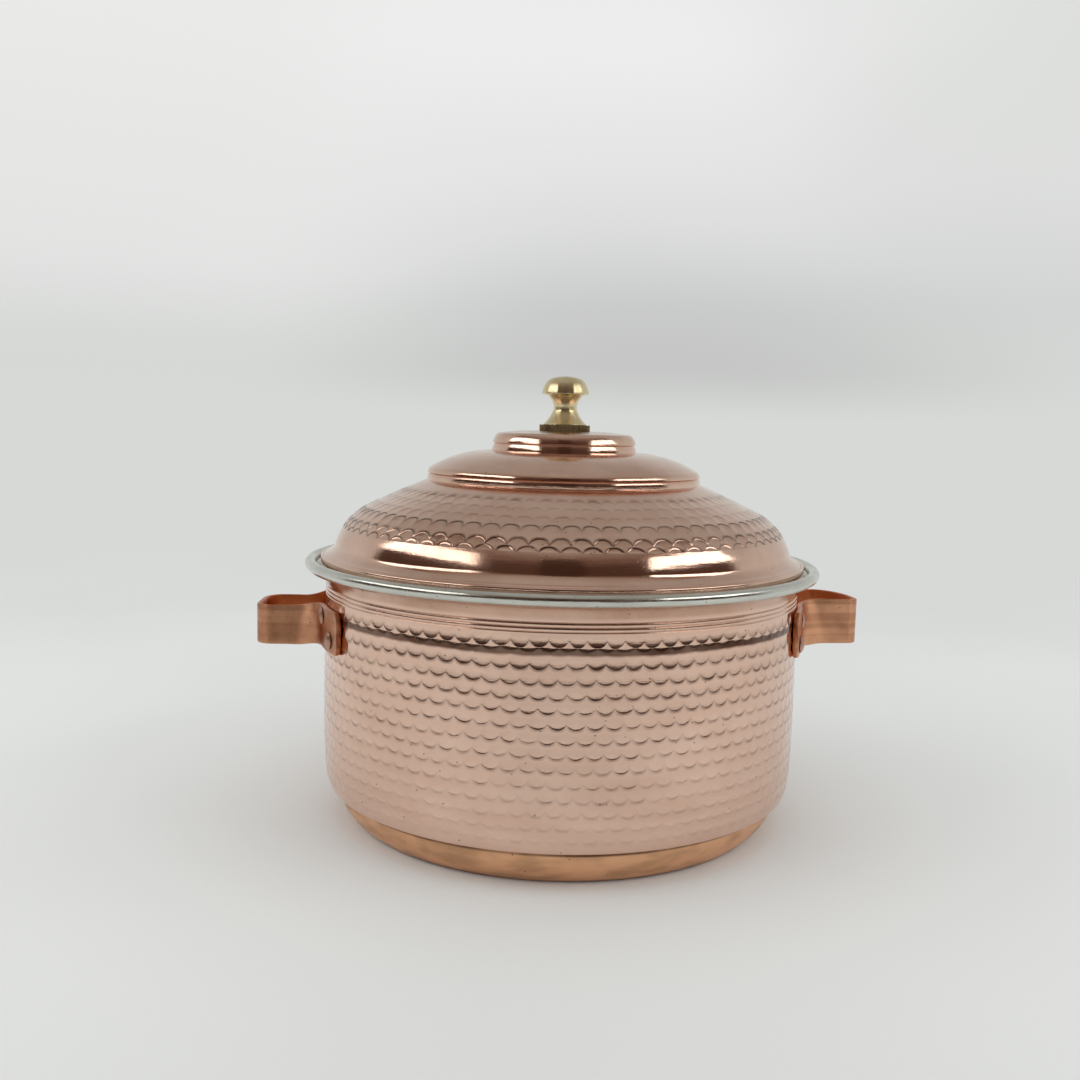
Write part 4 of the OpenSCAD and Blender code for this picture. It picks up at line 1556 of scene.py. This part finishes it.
@dataclass
class Handles(Part):
    """Two bent straps whose spread feet lie on the wall. Sizes in millimetres."""

    strap_t: float = 2.4
    leg_span: float = 36.0
    far_x: float = 153.48
    bend_r: float = 14.8
    foot_reach: float = 27.0
    foot_r: float = 120.458
    spread_run: float = 15.0
    foot_corner: float = 4.0
    edge: float = 0.55
    swell: tuple = (0.8, 8.0, 9.0)
    lean: tuple = (0.16, 7.0, 7.0)
    flat_places: tuple = (-0.75, -0.5, -0.25, 0.0, 0.25, 0.5, 0.75)
    forms: tuple = (StrapForm(-1, (87.2, 106.7), (88.8, 109.0), (8.5, 8.5), (10.0, 12.0)),
                    StrapForm(1, (89.9, 112.7), (89.4, 111.4), (6.0, 6.0), (15.0, 27.0)))

    def half_path(self, corner: tuple, start: float) -> tuple[np.ndarray, float]:
        """Middle line of a part of a strap in plan, from a point of its far side to the end of its foot.

        Args:
            corner: outside reach of its far corner along x and y.
            start: place of the first point along y, towards the foot.

        Returns:
            The points, and the length of the path up to where it starts to bend towards the foot.
        """
        half = self.strap_t / 2
        foot_mid, bend = self.foot_r + half, self.bend_r + half
        leg_y = self.leg_span / 2 - half
        centre = (math.sqrt((foot_mid + bend) ** 2 - (leg_y + bend) ** 2), leg_y + bend)
        tangent = math.degrees(math.atan2(centre[1], centre[0]))
        far = self.far_x - half
        wide, deep = corner[0] - half, corner[1] - half
        path = [(far, y) for y in np.linspace(start, leg_y - deep, 4)][:-1]
        path += [(far - wide + wide * math.cos(t), leg_y - deep + deep * math.sin(t))
                 for t in np.radians(np.linspace(0.0, 90.0, 19))]
        path += [(x, leg_y) for x in np.linspace(far - wide, centre[0], 4)[1:]]
        path = merged(path)
        bend_from = float(run_along(np.array(path))[-1])
        path += arc(centre, bend, 270.0, 180.0 + tangent, 14)[1:]
        path += arc((0.0, 0.0), foot_mid, tangent, self.foot_reach, 20)[1:]
        return np.array(merged(path)), bend_from

    def section(self, half: float, bulge: float) -> np.ndarray:
        """Rounded section of the strap.

        Args:
            half: half its height.
            bulge: how far its outer face swells.

        Returns:
            Points (across the sheet, height), anticlockwise.
        """
        thick = self.strap_t / 2
        e = min(self.edge, half * 0.9)
        points = []
        for sx, sz, start in ((1, 1, 0), (-1, 1, 90), (-1, -1, 180), (1, -1, 270)):
            points += arc((sx * (thick - e), sz * (half - e)), e, start, start + 90.0, 3)
        flat = (half - e) * np.array(self.flat_places)
        points += [(thick + bulge * (1 - (up / (half - e)) ** 2), up) for up in flat]
        return np.array(points)

    def half_strap(self, form: StrapForm, corner: tuple, start: float) -> list[tuple]:
        """Middle line of a part of a strap, with the form of its section at each point.

        Args:
            form: the strap.
            corner: reach of its far corner.
            start: place of the first point along y.

        Returns:
            Rows of (x, y, middle height, half height, swelling of the outer face, lean of the section).
        """
        path, bend_from = self.half_path(corner, start)
        run = run_along(path)
        rows = []
        for (x, y), s in zip(path, run):
            share = min(1.0, max(0.0, (s - bend_from) / self.spread_run))
            share = share * share * (3 - 2 * share)
            low, high = (a + (b - a) * share for a, b in zip(form.strap_z, form.foot_z))
            half = (high - low) / 2
            inside = s - (run[-1] - self.foot_corner)
            if inside > 0:
                inside = min(inside, self.foot_corner)
                half -= self.foot_corner - math.sqrt(max(0.0, self.foot_corner**2 - inside**2))
            swell, lean = (most * math.exp(-((s - bend_from - past) / wide) ** 2)
                           for most, past, wide in (self.swell, self.lean))
            rows.append((x, y, (low + high) / 2, half, swell, lean))
        return rows

    def strap(self, name: str, form: StrapForm) -> Mesh:
        """Makes one strap.

        Args:
            name: name of the mesh.
            form: what is its own.

        Returns:
            The mesh.
        """
        split = self.leg_span / 2 - form.front_corner[1] - 0.5
        low, high = (form.front_corner, form.rear_corner)[:: form.side]
        rear = self.half_strap(form, high, -split * form.side)
        front = [(x, -y, *rest) for x, y, *rest in self.half_strap(form, low, split * form.side)]
        rows = np.array(front[::-1] + rear[1:])
        way = np.gradient(rows[:, :2], axis=0)
        way /= np.linalg.norm(way, axis=1)[:, None]
        points, inner, faces, size = [], [], [], 0
        for (x, y, middle, half, bulge, lean), w in zip(rows, way):
            ring = self.section(half, bulge)
            size = len(ring)
            for across, up in ring:
                out = across - up * lean
                points.append((x + w[1] * out, y - w[0] * out, middle + up))
                # The inner faces carry the inside mark for a painted reflection.
                inner.append(float(across < 0))
        last = (len(rows) - 1) * size
        for first in range(0, last, size):
            for i in range(size):
                a, b = first + i, first + (i + 1) % size
                faces.append((a, b, b + size, a + size))
        faces += [tuple(range(size - 1, -1, -1)), tuple(range(last, last + size))]
        placed = np.array(points) * MM
        if form.side < 0:
            placed[:, :2] *= -1
        return plain_mesh(name, placed.tolist(), faces, {"inside": inner})

    def make(self) -> None:
        """Makes both straps."""
        for side, form in zip(("left", "right"), self.forms):
            made = piece(f"strap_{side}", self.strap(f"strap_{side}", form), self.finishes["strap"], 50.0)
            keep(made, "pot", [f"handle_{side}"])


@dataclass
class Rivets(Part):
    """Eight copper rivets that hold the feet. Sizes in millimetres."""

    head_r: float = 4.2
    head_h: float = 1.9
    edge_h: float = 0.5
    head_foot: tuple = ((-0.3, 0.02), (0.0, 0.2))
    dome_sag: float = 0.47
    shank_r: float = 2.0
    tail_r: float = 3.3
    tail_h: float = 0.9
    tail_round: tuple = (0.5, 0.3)
    head_x: float = 122.858
    tail_x: float = 118.83
    inner: tuple = (14.8, 104.1)
    outer: tuple = (22.0, 94.9)
    columns: int = 28

    def places(self) -> list[tuple[float, float]]:
        """Angle about the axis in degrees and height of each rivet."""
        return [((0 if side > 0 else 180) + side * leg * turn, height)
                for side in (-1, 1) for leg in (-1, 1) for turn, height in (self.inner, self.outer)]

    def pattern(self) -> Mesh:
        """One rivet along +X, its place on the radius in its mesh.

        Returns:
            The mesh.
        """
        tail, head, (aside, up) = self.tail_x, self.head_x, self.tail_round
        profile = [(0.0, tail - self.tail_h), (self.tail_r - aside, tail - self.tail_h), (self.tail_r, tail - up),
                   (self.tail_r, tail), (self.shank_r, tail), (self.shank_r, head)]
        profile += [(self.head_r + aside, head + up) for aside, up in self.head_foot]
        dome = bow((self.head_r, head + self.edge_h), (0.0, head + self.head_h), self.dome_sag, 6)
        mesh = lathe("rivet_pattern", profile + dome, self.columns)
        mesh.transform(Matrix.Rotation(math.pi / 2, 4, "Y"))
        return mesh

    def tree(self) -> Tree:
        """Tree that sets a rivet at each point, turned and lifted as the point says.

        Returns:
            The tree.
        """
        net, given, out = geometry_tree("rivets in place", [("Rivet", SOLID, None)])
        shape = net.add("GeometryNodeObjectInfo", {"Object": given.outputs["Rivet"]}).outputs["Geometry"]
        placed = net.add("GeometryNodeInstanceOnPoints", {
            "Points": given.outputs["Geometry"], "Instance": shape, "Rotation": net.xyz(z=net.mark("rivet_turn"))})
        return finish_tree(net, placed.outputs[0], given, out)

    def make(self) -> None:
        """Makes the rivets as one piece."""
        pattern = linked("rivet_pattern", self.pattern())
        turns, heights = zip(*self.places())
        mesh = plain_mesh("rivets", [(0.0, 0.0, z * MM) for z in heights], [], {"rivet_turn": np.radians(turns)})
        made = grown(piece("rivets", mesh, self.finishes["rivet"]), self.tree(), {"Rivet": pattern})
        bpy.data.objects.remove(pattern)
        smoothed(made.data, 50.0)
        keep(made, "pot", [f"rivet_{side}_{leg}_{end}" for side in ("left", "right") for leg in ("front", "rear")
                           for end in ("inner", "outer")])


# ---- The lid ----


@dataclass
class Lid(Part):
    """Stepped, hammered lid. Sizes in millimetres."""

    edge: tuple = (122.4, 126.4)
    edge_top: float = 132.5
    edge_step: float = 3.4
    fold: float = 1.0
    crease: tuple = ((-0.12, -0.15), (-0.35, -0.5), (-0.62, -0.12))
    cove_from: float = 0.8
    cove_top: tuple = (115.4, 137.1)
    cove_sag: float = -1.2
    dome_bows: tuple = (((110.6, 147.3), 0.55), ((100.5, 156.0), 0.78), ((71.5, 169.2), 0.2))
    foot: tuple = (69.7, 169.97)
    plain_foot: tuple = (69.6, 171.5)
    step_rolls: tuple = (((66.1, 171.0), 3.6, 4.0, 42.0), ((65.7, 173.1), 4.0, 8.0, 63.0))
    step_groove: tuple = (68.65, 173.42)
    crown_top: tuple = (37.9, 185.3)
    crown_sag: float = 2.0
    disc_rolls: tuple = (((24.4, 183.3), 12.8, 9.5, 26.5), ((25.0, 186.7), 12.0, 13.0, 29.0),
                         ((32.35, 190.77), 3.6, 29.0, 90.0))
    disc_groove: tuple = (35.75, 189.1)
    disc_plain: tuple = (36.3, 191.0)
    disc_top: tuple = (24.0, 195.42)
    flat_r: float = 13.9
    top_z: float = 195.8
    hole_r: float = 2.6
    sheet: float = 1.0
    tin: float = 0.25
    tin_columns: int = 160
    dents: int = 75
    dent_share: float = 0.53
    dent_depth: float = 0.28
    bite: float = 0.6
    bite_turn: float = 2.3
    variation: float = 0.4
    hammered: tuple = (9.8, 50.0)
    # Each row's upper rim, depth, sharpness and painted crease shade.
    row_rims: tuple = ((46.6, 0.45, 6.0, 0.75), (39.7, 0.4, 4.0, 0.4), (31.8, 0.5, 5.0, 0.5), (25.0, 0.7, 9.5, 1.0),
                       (16.5, 0.75, 10.0, 1.0), (12.5, 0.75, 10.0, 1.0))
    seed: int = 9

    def dome(self, fine: int) -> list[tuple]:
        """Side, shoulder and slope of the dome, from the cove up.

        Args:
            fine: number of chords in each.

        Returns:
            Its points.
        """
        path = [self.cove_top]
        for top, sag in self.dome_bows:
            path += bow(path[-1], top, sag, fine)
        return merged(path)

    def cove(self, steps: int) -> list[tuple]:
        """The hollow from the edge to the foot of the dome."""
        return bow((self.edge[0], self.edge_top), self.cove_top, self.cove_sag, steps)

    def centre(self) -> list[tuple]:
        """The flat middle and the edge of the hole for the screw."""
        return [(self.flat_r, self.top_z), (self.hole_r, self.top_z)]

    def edge_path(self) -> list[tuple]:
        """Outer face of the edge, its rolled corner, the crease and the cove.

        Returns:
            Its points.
        """
        r, z = self.edge[0], self.edge_top
        corner = bow((r, z - self.fold), (r - self.fold, z), self.fold * (1 - math.cos(math.pi / 4)), 5)
        crease = [(r - self.fold + aside, z + up) for aside, up in self.crease]
        cove = [p for p in self.cove(12) if p[0] < r - self.fold - self.cove_from]
        return [self.edge, (r, z - self.edge_step)] + corner + crease + cove

    def steps_path(self) -> list[tuple]:
        """Outer face from the foot of the lower step to the hole for the screw.

        Returns:
            Its points.
        """
        (low, high), (under, middle, top) = self.step_rolls, self.disc_rolls
        path = [self.dome_bows[-1][0], self.foot] + arc(*low, 7) + [self.step_groove] + arc(*high, 10)
        path += bow(path[-1], self.crown_top, self.crown_sag, 12)
        path += arc(*under, 6) + [self.disc_groove] + arc(*middle, 5) + arc(*top, 8)
        return merged(path + [self.disc_top] + self.centre())

    def plain_path(self) -> list[tuple]:
        """Outer face without grooves, folds and dents, which the inner faces follow.

        Returns:
            Its points.
        """
        path = [self.edge] + self.cove(6) + self.dome(5) + [self.foot, self.plain_foot] + arc(*self.step_rolls[1], 5)
        path += bow(path[-1], self.crown_top, self.crown_sag, 5)
        return merged(path + [self.disc_plain] + arc(*self.disc_rolls[2], 4)[1:] + self.centre())

    def surface(self) -> np.ndarray:
        """Place along the dome from the top of the cove, radius and height."""
        path = np.array(self.dome(60))
        return np.column_stack([run_along(path), path])

    def hammer_rows(self, surface: np.ndarray) -> list[DentRow]:
        """Rows of dents on the shoulder and the slope.

        Args:
            surface: rows of (place along the dome, radius, height).

        Returns:
            The rows, in the order in which they were struck.
        """
        rows = []
        for k, (upper, depth, sharp, crease) in enumerate(self.row_rims):
            pitch = FULL_TURN * np.interp(upper, surface[:, 0], surface[:, 1]) / self.dents
            radius = self.dent_share * pitch
            rows.append(DentRow(upper - radius, radius, depth, sharp, k % 2 == 1, crease))
        return rows

    def make_copper(self) -> Object:
        """Makes the copper lid.

        Returns:
            The piece.
        """
        surface = self.surface()
        work = HammerWork(self.hammer_rows(surface), self.dents, self.hammered, surface, self.seed, rising=False)
        shell = Shell()
        side = [(r, z) for s, r, z in surface if 0.3 < s < self.hammered[0] - 0.3][::4]
        above = [(r, z) for s, r, z in surface if self.hammered[1] + 0.5 < s][::8]
        first = shell.ring(work.coarse, *self.edge)
        last = shell.path(self.edge_path()[1:] + side, work.coarse, first)
        last = work.lay(shell, last)
        last = shell.path(merged(above + self.steps_path()), work.coarse, last)
        inner = beside(self.plain_path(), self.sheet)
        inner[-1] = (self.hole_r, inner[-1][1])
        last = shell.path(inner[::-1], work.coarse, last)
        shell.band(last, first)
        made = piece("lid_copper", shell.mesh("lid_copper"), self.finishes["lid"])
        grown(made, self.hammer, {"Depth": self.dent_depth * MM, "Seed": self.seed, "Bite": self.bite,
                                  "Bite Turn": self.bite_turn, "Variation": self.variation})
        smoothed(made.data, 60.0)
        return made

    def make(self) -> None:
        """Makes the lid's copper and tin."""
        keep(self.make_copper(), "lid", ["lid_shell"])
        coat = lathe("lid_tin", coats(self.plain_path(), self.sheet, self.sheet + self.tin), self.tin_columns)
        keep(piece("lid_tin", coat, self.finishes["tin"]), "lid", ["lid_lining"])


@dataclass
class Knob(Part):
    """Turned brass knob on a knurled collar. Sizes in millimetres."""

    foot_z: float = 198.7
    foot_r: float = 11.0
    foot_edge: float = 0.4
    waist_r: float = 6.0
    flare_h: float = 7.6
    flare_sag: float = -0.5
    head_r: float = 12.3
    head_z: float = 214.3
    cone_top: tuple = (9.5, 213.8)
    cone_h: float = 5.3
    cone_sag: float = -0.6
    head_side: tuple = (10.5, 219.5)
    side_sag: float = 0.18
    crown_r: float = 7.4
    top_z: float = 223.3
    crown_h: float = 1.0
    crown_sag: float = 0.35
    rounding: tuple = (0.35, 3, 28.0)
    bore_r: float = 2.6
    bore_top: float = 210.7
    columns: int = 96
    collar_r: float = 12.9
    collar_z: float = 195.8
    collar_h: float = 2.9
    teeth: int = 60
    tooth: float = 0.5

    def path(self) -> list[tuple]:
        """Profile of the knob, from its bore round its outside.

        Returns:
            Its points.
        """
        crown = (self.crown_r, self.top_z - self.crown_h)
        path = [(self.bore_r, self.foot_z), (self.foot_r, self.foot_z)]
        foot, waist = (self.foot_r, self.foot_z + self.foot_edge), (self.waist_r, self.foot_z + self.flare_h)
        path += bow(foot, waist, self.flare_sag, 10)
        path += bow((self.waist_r, self.cone_top[1] - self.cone_h), self.cone_top, self.cone_sag, 8)
        path += bow((self.head_r, self.head_z), self.head_side, self.side_sag, 5)
        path += bow(self.head_side, crown, self.crown_sag, 7) + bow(crown, (0.0, self.top_z), self.crown_sag, 8)
        return softened(merged(path), *self.rounding)

    def make_knob(self) -> Object:
        """Makes the knob with its blind bore.

        Returns:
            The piece.
        """
        path = [(0.0, self.bore_top), (self.bore_r, self.bore_top)] + self.path()[:-1] + [(0.0, self.top_z)]
        return piece("knob", lathe("knob", path, self.columns), self.finishes["brass"])

    def collar_tree(self) -> Tree:
        """Tree that sets teeth round a ring.

        Returns:
            The tree.
        """
        net, given, out = geometry_tree("knurled ring", [
            ("Radius", FLOAT, 0.0124), ("Height", FLOAT, 0.0029), ("Tooth", FLOAT, 0.0005), ("Teeth", WHOLE, 60),
            ("Foot", FLOAT, 0.1958)])
        radius, height, tooth, teeth, foot = given.outputs[1:6]
        core = net.add("GeometryNodeMeshCylinder", {"Vertices": teeth, "Radius": radius, "Depth": height})
        ring = net.add("GeometryNodeMeshCircle", {"Vertices": teeth, "Radius": radius})
        prism = net.add("GeometryNodeMeshCylinder", {"Vertices": 4, "Radius": tooth, "Depth": height})
        place = net.add("GeometryNodeInputPosition").outputs[0]
        away = net.add("FunctionNodeAlignRotationToVector", {"Vector": place}, axis="X").outputs[0]
        knurl = net.add("GeometryNodeInstanceOnPoints", {
            "Points": ring.outputs[0], "Instance": prism.outputs["Mesh"], "Rotation": away})
        join = net.add("GeometryNodeJoinGeometry")
        for part in (core.outputs["Mesh"], knurl.outputs[0]):
            net.put(join.inputs[0], part)
        lift = net.xyz(z=net.line(height, 0.5, foot))
        placed = net.add("GeometryNodeTransform", {"Geometry": join.outputs[0], "Translation": lift})
        return finish_tree(net, placed.outputs[0], given, out)

    def make_collar(self) -> Object:
        """Makes the knurled collar.

        Returns:
            The piece.
        """
        start = plain_mesh("knob_ring", [(0.0, 0.0, self.collar_z * MM)], [])
        made = grown(piece("knob_ring", start, self.finishes["bronze"]), self.collar_tree(), {
            "Radius": (self.collar_r - self.tooth) * MM, "Height": self.collar_h * MM, "Tooth": self.tooth * MM,
            "Teeth": self.teeth, "Foot": self.collar_z * MM})
        made.data.set_sharp_from_angle(angle=math.radians(30.0))
        return made

    def make(self) -> None:
        """Makes the knob and its collar and dresses its screw and washer."""
        keep(self.make_knob(), "lid", ["lid_knob"])
        keep(self.make_collar(), "lid", ["knob_collar"])
        for name in ("knob_screw", "knob_washer"):
            dress_node(name, self.finishes["steel"])


def main() -> None:
    """Builds the studio and every sub-assembly, and reports each piece."""
    logging.basicConfig(level=logging.INFO, format="%(message)s")
    Studio().make()
    effects = Effects()
    finishes = {name: finish.make(effects) for name, finish in FINISHES.items()}
    hammer = hammer_tree()
    for part in (Pot, Handles, Rivets, Lid, Knob):
        part(finishes, hammer).make()


if __name__ == "__main__":
    main()
